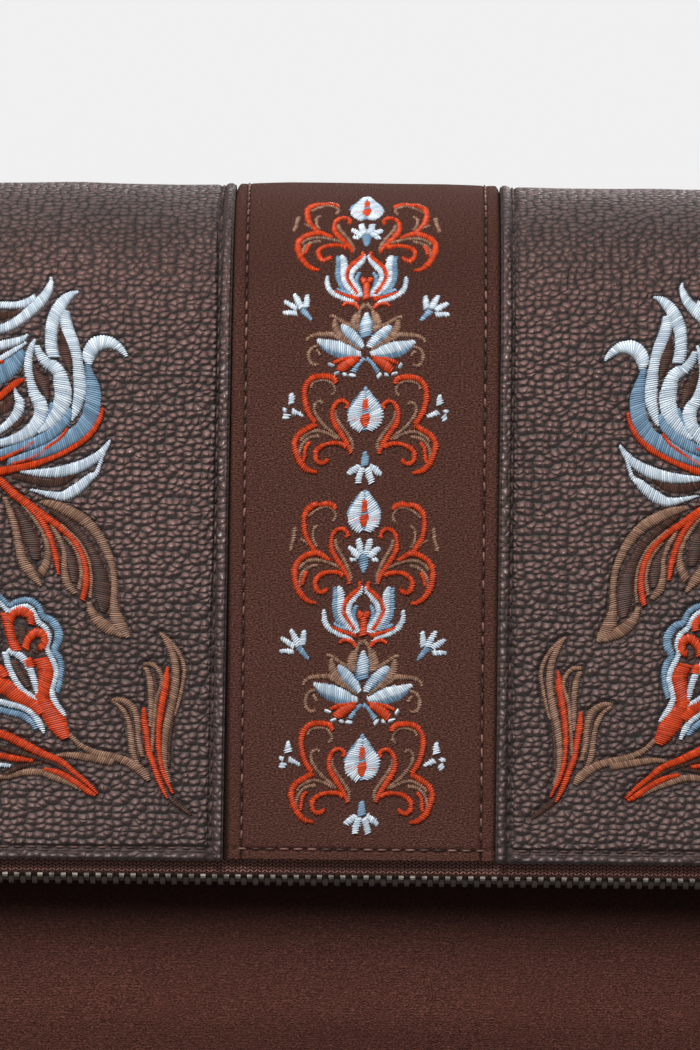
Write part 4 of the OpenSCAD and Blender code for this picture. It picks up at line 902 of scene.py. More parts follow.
def makeLeatherPanel(side):
    half, inner = bag["flapHalf"], bag["stripHalf"]
    long = half - inner
    r, tube = leatherPanel["endR"], leatherPanel["edgeHalf"]
    t = leatherPanel["thickness"]
    edge = [(0.7, -t), (0.25, -1.15), (0.02, -0.8), (0.0, -0.45), (0.1, -0.15), (0.32, -0.02), (0.6, 0.0)]
    field = [(e, 0.0) for e in list(np.arange(0.9, 5.4, 0.32)) +
             list(np.linspace(5.6, long - r, leatherPanel["columns"]))]
    end = arcPoints(long - r, -r, r, 90, 0, 6)
    wall = [(long, -d) for d in np.linspace(2.5, bag["flapT"], 7)] + [(long - t, -bag["flapT"]), (long - t, -r - 1)]
    under = [(e, -t) for e in np.linspace(long - 2.5, 2, 6)] + [(0.7, -t)]
    across = np.array(edge + field + end[1:] + wall + under)
    hem = leatherPanel["hemR"]
    rows = [(s, 0.0) for s in np.linspace(backEndS, hemS - 6, leatherPanel["rows"])]
    rows += [(s, 0.0) for s in np.arange(hemS - 5.6, hemS - hem, 0.35)]
    rows += [(hemS - hem + hem * math.sin(a), -hem + hem * math.cos(a)) for a in np.linspace(0.2, math.pi, 8)]
    along = np.array(rows)
    kept = {}

    def place(u, v):
        e, h = between(u, across)
        s, drop = between(v, along)
        back = eased((-s - 60) / 12)  # behind the hinge the panel is narrower and has no end wall
        outer = h > -0.001
        deep = (h < -r - 0.01) & (e > long - 1.6)
        h = np.where(deep, -r + (h + r) * (1 - back * 0.99), h)
        x = inner + e - back * (e / long) * (half - bag["panelX"])
        x = x + (stripEdge(side, s) - inner) * np.clip(1 - e / 20, 0, 1)
        near = nearSpines(stitched, x, s)
        press = np.exp(-(np.maximum(near, 0) / embroidery["pressWidth"]) ** 2)
        top = leatherTop(side, x, s)
        inward = x - stripEdge(side, s)
        # painted shade: darker in the dents round the embroidery, along the stitch lines, at the edge over the strip,
        # under the hem, and over the roll
        shade = np.where(near < embroidery["far"] - 1, press, 0)
        shade = shade + np.exp(-((inward - leatherPanel["stitchIn"]) / 0.75) ** 2)
        shade = shade + np.exp(-((hemS - s - leatherPanel["hemStitch"]) / 0.6) ** 2) * (e > 2)
        shade = shade + np.exp(-(inward / 0.4) ** 2) + np.clip((s - hemS + 0.9) / 0.9, 0, 1)
        shade = np.clip(shade + paintedHideShade(s), 0, 1)
        kept.update(x=x + np.where(outer, 0, np.maximum(-h, 0)), s=s, pressed=shade,
                    smooth=np.clip(np.exp(-((e - tube) / 1.25) ** 4) + np.clip((s - hemS + 2.2) / 0.5, 0, 1)
                                   + (e > long - 1.2), 0, 1))
        face = np.clip((h + 1.3) / 1.3, 0, 1) * np.where(e < 1, 1, outer)
        h = h + top * face - embroidery["press"] * press * outer
        h = np.where(outer, h + drop, np.where(h > -t - 0.01, np.minimum(h, drop * 0.4), h))
        s = np.where(outer, s, np.minimum(s, hemS - 0.35))
        px, y, z = flapToSpace(x, s, h)
        return side * px, y, z

    stitched = [line for color in panelStrokes for line in panelSpines(color)]
    piece = gridPiece("leatherPanel" + sideWords[side], len(across) - 1, len(along) - 1, place)
    patternMap(piece, side * kept["x"], kept["s"])
    for label in ("pressed", "smooth"):
        keepTone(piece, label, kept[label])
    closeUp(piece)
    word = sideWords[side].lower()
    dress(piece, "leather", None, ("flap_leather_" + word, "back_leather_" + word))
    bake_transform(piece)


for side in sideWords:
    makeLeatherPanel(side)
print("stage: leather panels")


def makeStrip():
    kept = {}

    def place(u, v):
        x = stops[np.rint(u * (len(stops) - 1)).astype(int)]
        s = rows[np.rint(v * (len(rows) - 1)).astype(int)]
        kept.update(x=x, s=s)
        return flapToSpace(x, s, stripTop(x, s) - strip["depth"])

    half = strip["under"]
    fine = [-strip["stitchX"] + k * 0.28 for k in range(-3, 4)]
    rim = [27.5, 27.9, 28.2, 28.5, 28.8, 29.1, 29.4, 29.8, 30.6, half]
    stops = np.array([-r for r in rim[::-1]] + fine + list(np.linspace(-24.6, 24.6, 62)) +
                     [-f for f in fine[::-1]] + rim)
    rows = np.concatenate([np.linspace(backEndS, hemS - 4, strip["rows"]), np.linspace(hemS - 3.8, hemS - 0.5, 12)])
    piece = gridPiece("suedeStrip", len(stops) - 1, len(rows) - 1, place)
    patternMap(piece, kept["x"], kept["s"])
    ax, s = np.abs(kept["x"]), kept["s"]
    # painted shade along the stitch lines, the hem stitching and where the strip runs under the leather's edge
    seam = np.exp(-((ax - strip["stitchX"]) / 0.33) ** 2)
    seam += np.exp(-((hemS - s - leatherPanel["hemStitch"]) / 0.35) ** 2) * (ax < strip["stitchX"])
    seam += np.clip((ax - stripEdge(1, s) + 0.7) / 0.7, 0, 1)
    darkerTone = np.clip((68 - s) / 26, 0, 1) * np.clip((s + 45) / 45, 0, 1)
    seam += 0.36 * darkerTone  # painted shade: the nap is darkened over the roll
    keepTone(piece, "pressed", np.clip(seam * 0.9, 0, 1))
    piece.data.flip_normals()
    thicken(piece, strip["thickness"])
    closeUp(piece)
    dress(piece, "suede", None, ("flap_strip", "back_strip"))
    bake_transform(piece)


makeStrip()

for color in embroidery["lift"]:
    lines = panelSpines(color)
    for side, word in sideWords.items():
        satinPiece(color + "Flowers" + word, color, lines, side,
                   lambda x, s, side=side: leatherTop(side, x, s) - 0.12, embroidery["panelSpread"])
    spread = embroidery["stripSpread"] + embroidery["whiteMore"] * (color == "white")
    satinPiece(color + "Border", color, stripSpines(color), 1, lambda x, s: stripTop(x, s) - strip["depth"] - 0.03,
               spread)
print("stage: embroidery")


# Stitches: one form repeated along each seam, at places given as (centre, way, up) in mm

def stitchPiece(name, places, bodyName=None, finish="stitchThread"):  # with no body its place is baked into its points
    reach, thick = np.array(stitch["along"]) * stitch["length"] / 2, np.array(stitch["thick"]) * stitch["radius"]
    turns = np.linspace(0, math.tau, stitch["sides"], endpoint=False)
    verts, faces, shades = [], [], []
    for number, (centre, way, up) in enumerate(places):
        centre, way, up = (np.asarray(v, float) for v in (centre, way, up))
        out = np.cross(way, up)
        for along, lift, radius in zip(reach, stitch["rise"], thick):
            ring = centre + way * along + up * lift
            for turn in turns:
                verts.append(ring + radius * (math.cos(turn) * out + math.sin(turn) * up))
        base, wide = number * len(reach) * len(turns), len(turns)
        for i in range(len(reach) - 1):
            for k in range(wide):
                a, b = base + i * wide + k, base + i * wide + (k + 1) % wide
                faces.append((a, b, b + wide, a + wide))
        faces.append(tuple(base + k for k in reversed(range(wide))))
        faces.append(tuple(base + (len(reach) - 1) * wide + k for k in range(wide)))
        shades += [threadRandom.uniform()] * (len(reach) * wide)
    piece = threadPiece(name, np.array(verts), faces, shades)
    closeUp(piece, None, None)
    dress(piece, finish, bodyName, (), 60)
    if not bodyName:
        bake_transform(piece)


def flapStitches(points, height):  # stitches on the flap's face, from (x, s) centres and ways
    places = []
    for x, s, wx, ws in points:
        h = height(x, s)
        centre = np.array(flapToSpace(x, s, h))
        ahead = np.array(flapToSpace(x + wx * 0.2, s + ws * 0.2, h))
        way = (ahead - centre) / np.linalg.norm(ahead - centre)
        angle = min(max(s / bag["rollR"], -math.pi / 2), math.pi / 2)
        up = np.array([0, -math.sin(angle), math.cos(angle)])
        places.append((centre, way, up))
    return places


def stripSeam(x, s):
    return float(stripTop(x, s)) - strip["depth"] + sunk["strip"]


pitch, hemStitchS = stitch["pitch"], hemS - leatherPanel["hemStitch"]
endStitchX = bag["flapHalf"] - leatherPanel["endStitch"]
downs = [(k + 0.5) * pitch for k in range(int(backEndS / pitch) + 1, int((hemS - 3) / pitch))]
for side, word in sideWords.items():
    edgeLine = [(side * (float(stripEdge(side, s)) + leatherPanel["stitchIn"]), s, side * 0.08, 1) for s in downs]
    stitchPiece("edgeStitches" + word, flapStitches(edgeLine, lambda x, s: sunk["edge"]))
    stripLine = [(side * strip["stitchX"], s, side * 0.06, 1) for s in downs]
    stitchPiece("stripStitches" + word, flapStitches(stripLine, stripSeam), None, "suedeThread")
    hemLine = [(side * (k + 0.5) * pitch, hemStitchS, 1, 0) for k in range(11, int(endStitchX / pitch))]
    stitchPiece("hemStitches" + word, flapStitches(hemLine, lambda x, s: sunk["hem"]), "flap")
    endLine = [(side * endStitchX, s, 0, 1) for s in downs if s > -50]
    stitchPiece("endStitches" + word, flapStitches(endLine, lambda x, s: sunk["end"]), "flap")
hemLine = [((k + 0.5) * pitch, hemStitchS, 1, 0) for k in range(-9, 9)]
stitchPiece("stripHemStitches", flapStitches(hemLine, stripSeam), "flap", "suedeThread")
print("stage: flap and back panels")

# Velour body: the front bellies out at its foot

body = {"thickness": 1.2, "belly": 3.0, "bellyZ": 62, "ripple": 0.5, "flapShadow": 0.68, "flapShadowZ": (36, 96),
        "baseWave": 0.25, "sag": 1.2, "underShare": 0.06}


def makeFrontPanel():
    def place(u, v):
        x = (u * 2 - 1) * bag["panelX"]
        z = bag["seamZ"] + v * (bag["rimZ"] - bag["seamZ"])
        low = np.clip((body["bellyZ"] - z) / 30, 0, 1)
        push = body["belly"] * low * low * (3 - 2 * low) * np.cos(x / bag["panelX"] * math.pi / 2) ** 0.5
        push = push + body["ripple"] * softNoise(x, z, 19, 2.0) * np.clip((body["bellyZ"] - z) / 20, 0, 1)
        return x, bag["frontY"] - push * np.clip((z - bag["seamZ"]) / 14, 0, 1), z

    piece = gridPiece("frontPanel", 130, 70, place)
    x, _, z = (np.array([v.co for v in piece.data.vertices]) / mm).T
    low, high = body["flapShadowZ"]  # painted shadow of the flap's hem on the front panel, between these heights
    flapShadow = body["flapShadow"] * np.clip((z - low) / 20, 0, 1) ** 1.3 * np.clip((high - z) / 30, 0, 1)
    keepTone(piece, "pressed", flapShadow * np.clip((bag["panelX"] - np.abs(x)) / 22, 0, 1))
    thicken(piece, body["thickness"])
    dress(piece, "velour", "root", ("front_panel",))


def sideOutline(y, inset=0.0):  # height of the rounded base above the floor at a depth y
    r = bag["baseR"] - inset
    f, b = bag["frontY"] + inset + r, bag["backY"] - inset - r
    off = np.maximum(np.maximum(f - y, y - b), 0)
    return inset + r - np.sqrt(np.maximum(r * r - off * off, 0))


def makeBasePanel():
    r = bag["baseR"]
    f, b = bag["frontY"], bag["backY"]
    way = [(f, bag["seamZ"])] + arcPoints(f + r, r, r, 180, 270, 14) + arcPoints(b - r, r, r, 270, 360, 14)
    way = evenWay(way + [(b, bag["seamZ"])], count=90)

    def place(u, v):
        y, z = between(1 - v, way)
        x = (u * 2 - 1) * bag["panelX"]
        return x, y, z + body["baseWave"] * (1 + softNoise(x, y, 17, 5.0)) * (z < 1)

    piece = gridPiece("basePanel", 130, 89, place)
    thicken(piece, body["thickness"])
    dress(piece, "velour", "root", ("base_panel",))


def planWay():  # the plan line of one end, from the front seam round to the back seam
    r, w, f, b = bag["cornerR"], bag["halfWidth"], bag["frontY"], bag["backY"]
    way = [(bag["panelX"], f)] + arcPoints(w - r, f + r, r, -90, 0, 10)
    way += arcPoints(w - r, b - r, r, 0, 90, 10) + [(bag["panelX"], b)]
    return evenWay(way, count=120)


def archTop(y, within):  # the rim, with an arch over it where within holds
    off = np.maximum(bag["earR"] ** 2 - (y - bag["earY"]) ** 2, 0)
    return bag["rimZ"] + np.where(within & (np.abs(y - bag["earY"]) < bag["earR"]), np.sqrt(off), 0)


def makeGusset(side):
    way = planWay()

    def place(u, v):
        x, y = between(u, way)
        foot = sideOutline(y)
        top = archTop(y, x > bag["halfWidth"] - 0.1)
        under = np.clip(v / body["underShare"], 0, 1)
        rise = np.clip((v - body["underShare"]) / (1 - body["underShare"]), 0, 1)
        z = foot + rise * (top - foot)
        x = bag["panelX"] + (x - bag["panelX"]) * np.sin(under * math.pi / 2)
        sag = body["sag"] * softNoise(y, z, 23, side) * np.clip(z / 30, 0, 1) * np.clip((160 - z) / 40, 0, 1)
        return side * (x - np.abs(sag) * (x > bag["halfWidth"] - 0.5)), y, z

    piece = gridPiece("gusset" + sideWords[side], 119, 110, place)
    if side < 0:
        piece.data.flip_normals()
    thicken(piece, body["thickness"])
    dress(piece, "velour", "root", ("gusset_" + sideWords[side].lower(),))


makeFrontPanel()
makeBasePanel()
for side in sideWords:
    makeGusset(side)
print("stage: body")


# Pieces made of one outline carried along a line

def ringPiece(name, rings, finish, bodyName, stands, angle=40):  # rows of corners in one closed skin
    rings = np.asarray(rings, float)
    rows, corners = rings.shape[:2]
    closed = np.concatenate([rings, rings[:, :1]], 1)
    around, along = runOf(closed[rows // 2]), runOf(rings.mean(1))
    kept = {}

    def place(u, v):
        i, k = np.rint(v * (rows - 1)).astype(int), np.rint(u * corners).astype(int)
        kept.update(x=along[i], y=around[k])
        return closed[i, k, 0], closed[i, k, 1], closed[i, k, 2]

    piece = gridPiece(name, corners, rows - 1, place)
    patternMap(piece, kept["x"], kept["y"])
    closeUp(piece)
    return dress(piece, finish, bodyName, stands, angle)


def offsetWay(points, distance):  # the same line moved sideways, to the left of its run
    points = np.asarray(points, float)
    way = np.gradient(points, axis=0)
    way /= np.linalg.norm(way, axis=1, keepdims=True)
    return points + distance * np.stack([-way[:, 1], way[:, 0]], 1)


def bandLoop(way, t, tip=0.4):  # closed outline of a sheet t thick, from the line of its face, with soft ends
    inner = offsetWay(way, t)[::-1]
    end, start = way[-1] - way[-2], way[1] - way[0]
    tipEnd = (way[-1] + inner[0]) / 2 + end / np.linalg.norm(end) * t * tip
    tipStart = (way[0] + inner[-1]) / 2 - start / np.linalg.norm(start) * t * tip
    return np.vstack([way, tipEnd[None], inner, tipStart[None]])


def alongX(loop, stations, bulge=None):  # one closed outline (y, z) repeated across the bag
    rings = []
    for x in stations:
        points = loop if bulge is None else bulge(x, loop)
        rings.append(np.column_stack([np.full(len(points), x), points]))
    return np.array(rings)


def endsFine(half, count=60):  # stations across the bag, closer together at both ends
    inner = np.linspace(-half + 4, half - 4, count)
    return np.concatenate([[-half, -half + 0.4, -half + 1.2, -half + 2.4], inner,
                           [half - 2.4, half - 1.2, half - 0.4, half]])


# Flap's inner layers: side lines from the front edge, over the roll, to the fold at the back

inside = {"coreX": 136.4, "padFrom": 2.6, "padTo": 5.2, "pocketTo": 9.8, "pocketWall": 0.5, "flapT": 11,
          "padLow": 79.6, "panelLow": 66.6, "foldTo": (39.3, 164.6), "magnetZ": 93.6, "magnetR": 8,
          "thinEnd": 0.45, "rippleHeight": 0.25, "ripple": 9.0, "slack": 0.35, "disc": 0.5, "discMore": 1.4}


def rollLine(depth, low, count=90):  # (y, z) of a layer's outer face, from the front edge up and over
    front = rollLength + bag["rollZ"] - low
    s = np.linspace(front, -rollLength, count)
    _, y, z = flapToSpace(0 * s, s, 0 * s - depth)
    return np.column_stack([y, z])


def makeFlapInside():
    t = inside["padTo"] - inside["padFrom"]
    way = rollLine(inside["padFrom"], inside["padLow"])
    middle = offsetWay(way, -t / 2)
    centre = np.vstack([middle, middle[-1:], middle[::-1], middle[:1]])

    def quilted(x, loop):  # the foam thins towards its sewn edges
        near = min(1.0, (inside["coreX"] - abs(x)) / 5)
        share = inside["thinEnd"] + (1 - inside["thinEnd"]) * math.sqrt(max(near, 0))
        return centre + (loop - centre) * share

    padding = ringPiece("flapPadding", alongX(bandLoop(way, -t), endsFine(inside["coreX"]), quilted),
                        "foam", "flap", ("flap_padding",))

    wall, room = inside["pocketWall"], inside["pocketTo"] - inside["padTo"]
    outer = rollLine(inside["padTo"], inside["padLow"])
    mid = offsetWay(outer, -room / 2)
    pocket, least = [], 0.06
    for x in endsFine(inside["coreX"]):
        near = math.sqrt(max(0.0, min(1.0, (inside["coreX"] - abs(x)) / 9)))
        ripple = inside["rippleHeight"] * math.sin(x / inside["ripple"]) * near
        half = 0.55 + (room / 2 - 0.55) * near
        skin = min(half - wall if half > wall + least else least, half - 0.3)
        points = np.vstack([offsetWay(mid, half), offsetWay(mid, -half)[::-1] + [0, ripple],
                            offsetWay(mid, -skin), offsetWay(mid, skin)[::-1]])
        pocket.append(np.column_stack([np.full(len(points), x), points]))
    ringPiece("flapPocketLining", pocket, "liningCloth", "flap", ("flap_pocket_lining",))

    way = rollLine(inside["pocketTo"], inside["panelLow"], 120)
    fold = np.array(inside["foldTo"])
    last = way[-1]
    steps = np.linspace(0, 1, 9)[1:, None]
    bend = np.array([last[0], last[1] - 4.0])
    way = np.vstack([way, (1 - steps) ** 2 * last + 2 * steps * (1 - steps) * bend + steps ** 2 * fold])
    loop = bandLoop(way, -(inside["flapT"] - inside["pocketTo"]))

    def soft(x, points):  # slack between the stitch lines, and the raised disc over the magnet
        z, moved = points[:, 1], points.copy()
        front = (points[:, 0] < 0) & (z < bag["rollZ"])
        calm = np.clip((inside["coreX"] - abs(x)) / 8, 0, 1) * np.clip((z - inside["panelLow"] - 3) / 8, 0, 1)
        slack = inside["slack"] * softNoise(np.full(len(z), float(x)), z, 21.0, 6.0) * calm
        room = inside["magnetR"] + inside["discMore"] - np.hypot(x, z - inside["magnetZ"])
        disc = inside["disc"] * np.clip(room, 0, 1)
        moved[:, 0] += np.where(front, np.clip(slack + disc, -0.1, 0.55), 0)
        return moved

    stations = np.unique(np.concatenate([endsFine(inside["coreX"]), np.arange(-10.2, 10.3, 0.85)]))
    panel = ringPiece("flapInnerPanel", alongX(loop, stations, soft), "velour", None,
                      ("flap_inner_panel",))
    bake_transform(panel)


makeFlapInside()
print("stage: flap layers")

# Zip tapes, from the chain's jaws round the bend and up behind the hem

zipper = {"nearBend": (-39.6, 65.504), "farBend": (-34.15, 63.52), "tilt": 20.0, "bendR": 0.8, "tapeT": 0.6,
          "top": 78.6, "half": 136.1, "jaw": 1.15, "thinness": 0.96}


def tapeLine(side):  # (y, z) down the middle of one tape, the near one at side -1
    cy, cz = zipper["nearBend"] if side < 0 else zipper["farBend"]
    r = zipper["bendR"] - zipper["tapeT"] / 2
    tilt = math.radians(zipper["tilt"])
    foot = math.degrees(math.atan2(-math.cos(tilt), -math.sin(tilt)))
    turn = arcPoints(cy, cz, r, foot, -180 if side < 0 else 0, 9)
    away = -side * (zipper["jaw"] + 0.35)
    jaw = (turn[0][0] + away * math.cos(tilt), turn[0][1] - away * math.sin(tilt))
    straight = [(cy + side * r, z) for z in np.linspace(cz + 0.8, zipper["top"], 16)]
    return evenWay([jaw] + turn + straight, count=46)


def makeTapes():
    t = zipper["tapeT"] * zipper["thinness"]
    stations = np.linspace(-zipper["half"], zipper["half"], 160)
    for side, node, name in ((-1, "zip_tape_front", "zipTapeFront"), (1, "zip_tape_back", "zipTapeBack")):
        loop = bandLoop(offsetWay(tapeLine(side), t / 2), -t, 0.3)
        ringPiece(name, alongX(loop, stations), "zipTape", "flap", (node,))


makeTapes()
print("stage: zip tapes")

# Lining of the body, and its slip pocket

liner = {"inset": 4.0, "t": 0.5, "sag": 0.9, "floorShare": 0.3, "floorWave": 0.5, "pocketHalf": 75,
         "pocketLow": 53, "pocketTop": 138, "slack": 1.3, "hemT": 0.3, "hemL": 9}


def planPoints(inset, count):  # the whole rounded plan as (x, y), from the middle of the back
    w, f, b, r = bag["halfWidth"] - inset, bag["frontY"] + inset, bag["backY"] - inset, bag["cornerR"] - inset
    line = [(0, b)] + arcPoints(w - r, b - r, r, 90, 0, 12) + arcPoints(w - r, f + r, r, 0, -90, 12)
    line += arcPoints(-w + r, f + r, r, -90, -180, 12) + arcPoints(-w + r, b - r, r, 180, 90, 12) + [(0, b)]
    return evenWay(line, count=count)


def makeLining():
    inset, floorShare = liner["inset"], liner["floorShare"]
    ring = planPoints(inset, 361)
    middle = (bag["frontY"] + inset + (bag["backY"] - inset)) / 2

    def place(u, v):
        px, py = ring[np.rint(u * 360).astype(int)].T
        low = np.clip(v / floorShare, 0, 1)
        x = px * (0.82 + 0.18 * low)
        y = middle + (py - middle) * low
        foot = sideOutline(y, inset)
        top = archTop(py, np.abs(px) > bag["halfWidth"] - inset - 0.05)
        rise = np.clip((v - floorShare) / (1 - floorShare), 0, 1)
        z = foot + rise * (top - foot)
        calm = np.clip((z - 8) / 20, 0, 1) * np.clip((150 - z) / 25, 0, 1)
        sag = liner["sag"] * np.abs(softNoise(px + py * 1.7, z, 17.0, 3.5)) * calm
        side = np.abs(px) > bag["halfWidth"] - inset - 0.3
        x = x - np.sign(px) * np.where(side, sag, 0)
        y = y - np.sign(py - middle) * np.where(side, 0, sag)
        return x, y, z + liner["floorWave"] * (low < 1) * np.abs(softNoise(x, y, 15, 1.0))

    piece = gridPiece("bodyLining", 360, 90, place)
    closeUp(piece, 1e-5, None)
    thicken(piece, liner["t"])
    dress(piece, "liningCloth", "root", ("lining",))


def makeSlipPocket():
    y0, half = bag["backY"] - liner["inset"] - liner["t"], liner["pocketHalf"]
    low, top = liner["pocketLow"], liner["pocketTop"]

    def place(u, v):
        x, z = (u * 2 - 1) * half, low + v * (top - low)
        loose = np.clip((half - np.abs(x)) / 22, 0, 1) ** 0.7 * np.clip(v / 0.3, 0, 1) ** 0.7
        hem = liner["hemT"] * np.clip((z - top + liner["hemL"]) / 0.6, 0, 1)
        slack = liner["slack"] * loose * (0.8 + 0.2 * softNoise(x, z, 18, 7.0))
        return x, y0 - 0.55 - slack - hem * (v < 1), z

    piece = gridPiece("slipPocket", 80, 56, place)
    thicken(piece, liner["t"])
    dress(piece, "liningCloth", "root", ("slip_pocket",))
    way = [(x, z, 0, 1) for x in (-half + 2, half - 2) for z in np.arange(low + 2, top - 2, stitch["pitch"])]
    way += [(x, low + 2, 1, 0) for x in np.arange(-half + 4, half - 3, stitch["pitch"])]
    stitchPiece("pocketStitches", [((x, y0 - 0.75, z), (wx, 0, wz), (0, -1, 0)) for x, z, wx, wz in way], "root")


makeLining()
makeSlipPocket()
print("stage: lining")

# Leather binding over the rim of the mouth and the arches of the gussets

trim = {"t": 0.8, "wall": 4.5, "height": 8, "stitchUp": 1.5, "stitchOut": 0.02}


def bindingSection():  # U over a raw edge, in (across from the outer face, up from the edge)
    wall, t, height = trim["wall"], trim["t"], trim["height"]
    top = [(wall / 2 - (wall / 2 + t) * math.cos(a), t * (0.35 + 0.65 * math.sin(a) ** 0.5))
           for a in np.linspace(0.12, math.pi - 0.12, 12)]
    outer = [(-t * 0.7, -height), (-t, -height + 0.5), (-t, -height * 0.5), (-t, -0.6)]
    over = [(wall + t, -0.6), (wall + t, -height * 0.5), (wall + t, -height + 0.5), (wall + t * 0.7, -height)]
    under = [(wall, -height + 0.1), (wall, 0), (0, 0), (0, -height + 0.1)]
    return np.array(outer + top + over + under)


def makeMouthBinding():
    section = bindingSection()
    r, w, f = bag["cornerR"], bag["halfWidth"], bag["frontY"]
    line, normals = [], []
    for side in (-1, 1):
        angles = np.linspace(180, 270, 12) if side < 0 else np.linspace(270, 360, 12)
        for a in np.radians(angles):
            line.append((side * (w - r) + r * math.cos(a), f + r + r * math.sin(a)))
            normals.append((-math.cos(a), -math.sin(a)))
        if side < 0:
            for x in np.linspace(-w + r, w - r, 60)[1:-1]:
                line.append((x, f))
                normals.append((0, 1))
    rings = [[(p[0] + n[0] * a, p[1] + n[1] * a, bag["rimZ"] + up + 0.12 * math.sin(p[0] / 7) * (up > 0.3))
              for a, up in section] for p, n in zip(line, normals)]
    ringPiece("mouthBinding", rings, "leatherTrim", "root", ("mouth_binding",), 60)
    places = []
    out = trim["t"] + trim["stitchOut"]
    for x in np.arange(-w + r, w - r + 1, stitch["pitch"]):
        for y, up in ((f - out, -1), (f + trim["wall"] + out, 1)):
            places.append(((x, y, bag["rimZ"] - trim["height"] + trim["stitchUp"]), (1, 0, 0), (0, up, 0)))
    stitchPiece("mouthStitches", places, "root")


def makeEarBinding(side):
    section = bindingSection()
    w, cy, cz, earR = bag["halfWidth"], bag["earY"], bag["rimZ"], bag["earR"]
    rings, places = [], []
    low = math.asin(0.9 / earR)
    for a in np.linspace(low, math.pi - low, 60):
        rings.append([(side * (w - across), cy + (earR + up) * math.cos(a), cz + (earR + up) * math.sin(a))
                      for across, up in section])
    r = earR - trim["height"] + trim["stitchUp"]
    for a in np.arange(low + 0.1, math.pi - low - 0.05, stitch["pitch"] / r):
        centre = (side * (w + trim["t"] + trim["stitchOut"]), cy + r * math.cos(a), cz + r * math.sin(a))
        places.append((centre, (0, -math.sin(a), math.cos(a)), (side, 0, 0)))
    word = sideWords[side]
    ringPiece("earBinding" + word, rings, "leatherTrim", "root", ("ear_binding_" + word.lower(),), 60)
    stitchPiece("earStitches" + word, places, "root")


makeMouthBinding()
for side in sideWords:
    makeEarBinding(side)
print("stage: bindings")

# Strap: folded leather, its two ends turned over the eye bars, the rest down behind the back in three runs

strap = {"width": 16, "t": 2, "hangX": 149.556, "dropX": 150.631, "eyeZ": 108.767, "endL": 24, "loopMid": 2.7,
         "tabY": 28, "floorY": 52.8, "turnX": 118, "turnR": 6, "lowR": 10, "runZ": (1, 3.15, 5.3), "lap": 2.15,
         "stitchAt": 5.9, "pitch": 3.4, "sunk": 0.42}
tab = {"barX": 143.2, "barZ": 150, "midR": 2.5, "t": 1.4, "low": 123, "faceX": 140, "legX": 142.8, "sunk": 0.16,
       "crossAt": (-4.5, -1.5, 1.5, 4.5)}


def endRoute(footZ):  # one end from the tip of its lap to the foot of the drop, x outward, z up
    top, low, drop, r = strap["eyeZ"], strap["eyeZ"] - strap["endL"], strap["dropX"], strap["lowR"]
    inner = strap["hangX"] - strap["lap"] / 2
    way = [(inner, low), (inner, low + 0.3 * strap["endL"]), (inner, low + 0.6 * strap["endL"])]
    way += arcPoints(strap["hangX"], top, strap["loopMid"], 180, 0, 11)
    way += [(drop, low + 0.6 * strap["endL"]), (drop, low)]
    way += [(drop, low - (low - footZ - r) * i / 7) for i in range(1, 8)]
    return way + arcPoints(drop - r, footZ + r, r, -15, -90, 6)


def strapRoute():  # the side line of the whole strap, as the source draws it
    z0, z1, z2 = strap["runZ"]
    x, r, lap = strap["turnX"], strap["turnR"], strap["lap"]
    over = z1 + 2 * r + lap
    way = endRoute(z0) + [(-x, z0)] + arcPoints(-x, z0 + r, r, 255, 105, 9) + [(-x, z0 + 2 * r)]
    way += [(-x + i * r, z0 + 2 * r - (2 * r - lap) * float(eased(i / 4))) for i in range(1, 5)]
    way += [(x, z1)] + arcPoints(x, z1 + r, r, -75, 75, 9) + [(x, z1 + 2 * r)]
    way += [(x - i * r, z1 + 2 * r - (2 * r - lap) * float(eased(i / 4))) for i in range(1, 5)]
    way += [(-x + (9 - i) * r, z2 + (over - z2) * float(eased(i / 4))) for i in range(5)]
    return np.array(way + [(-px, pz) for px, pz in endRoute(over)[::-1]]), over


def smoothWay(points, spacing, passes=12):  # an even line with its corners eased and its ends kept
    line = evenWay(points, spacing)
    for _ in range(passes):
        line[1:-1] = (line[:-2] + 2 * line[1:-1] + line[2:]) / 4
    return line


def flatSection(width, t, stitchAt):  # rounded edges, a shallow crown and a groove under each stitch line
    half = width / 2
    w = [1.2, 3.4, stitchAt - 0.5, stitchAt, stitchAt + 0.5, half - 1.2, half - 0.6, half - 0.25, half - 0.05]
    w = [-v for v in w[::-1]] + w
    top = [t / 2 * (1 - (abs(v) / half) ** 9) ** 0.5 - 0.16 * (abs(abs(v) - stitchAt) < 0.1) for v in w]
    return np.array([(-half, 0)] + list(zip(w, top)) + [(half, 0)] + [(a, -b) for a, b in zip(w[::-1], top[::-1])])


def flatRings(line, section):  # the section carried along a line (x, y, z), its width always front to back
    way = np.gradient(line, axis=0)
    way = way[:, [0, 2]] / np.linalg.norm(way[:, [0, 2]], axis=1, keepdims=True)
    out = np.stack([-way[:, 1], way[:, 0]], 1)
    rings = [[(p[0] + n[0] * h, p[1] + w, p[2] + n[1] * h) for w, h in section] for p, n in zip(line, out)]
    return np.array(rings), out


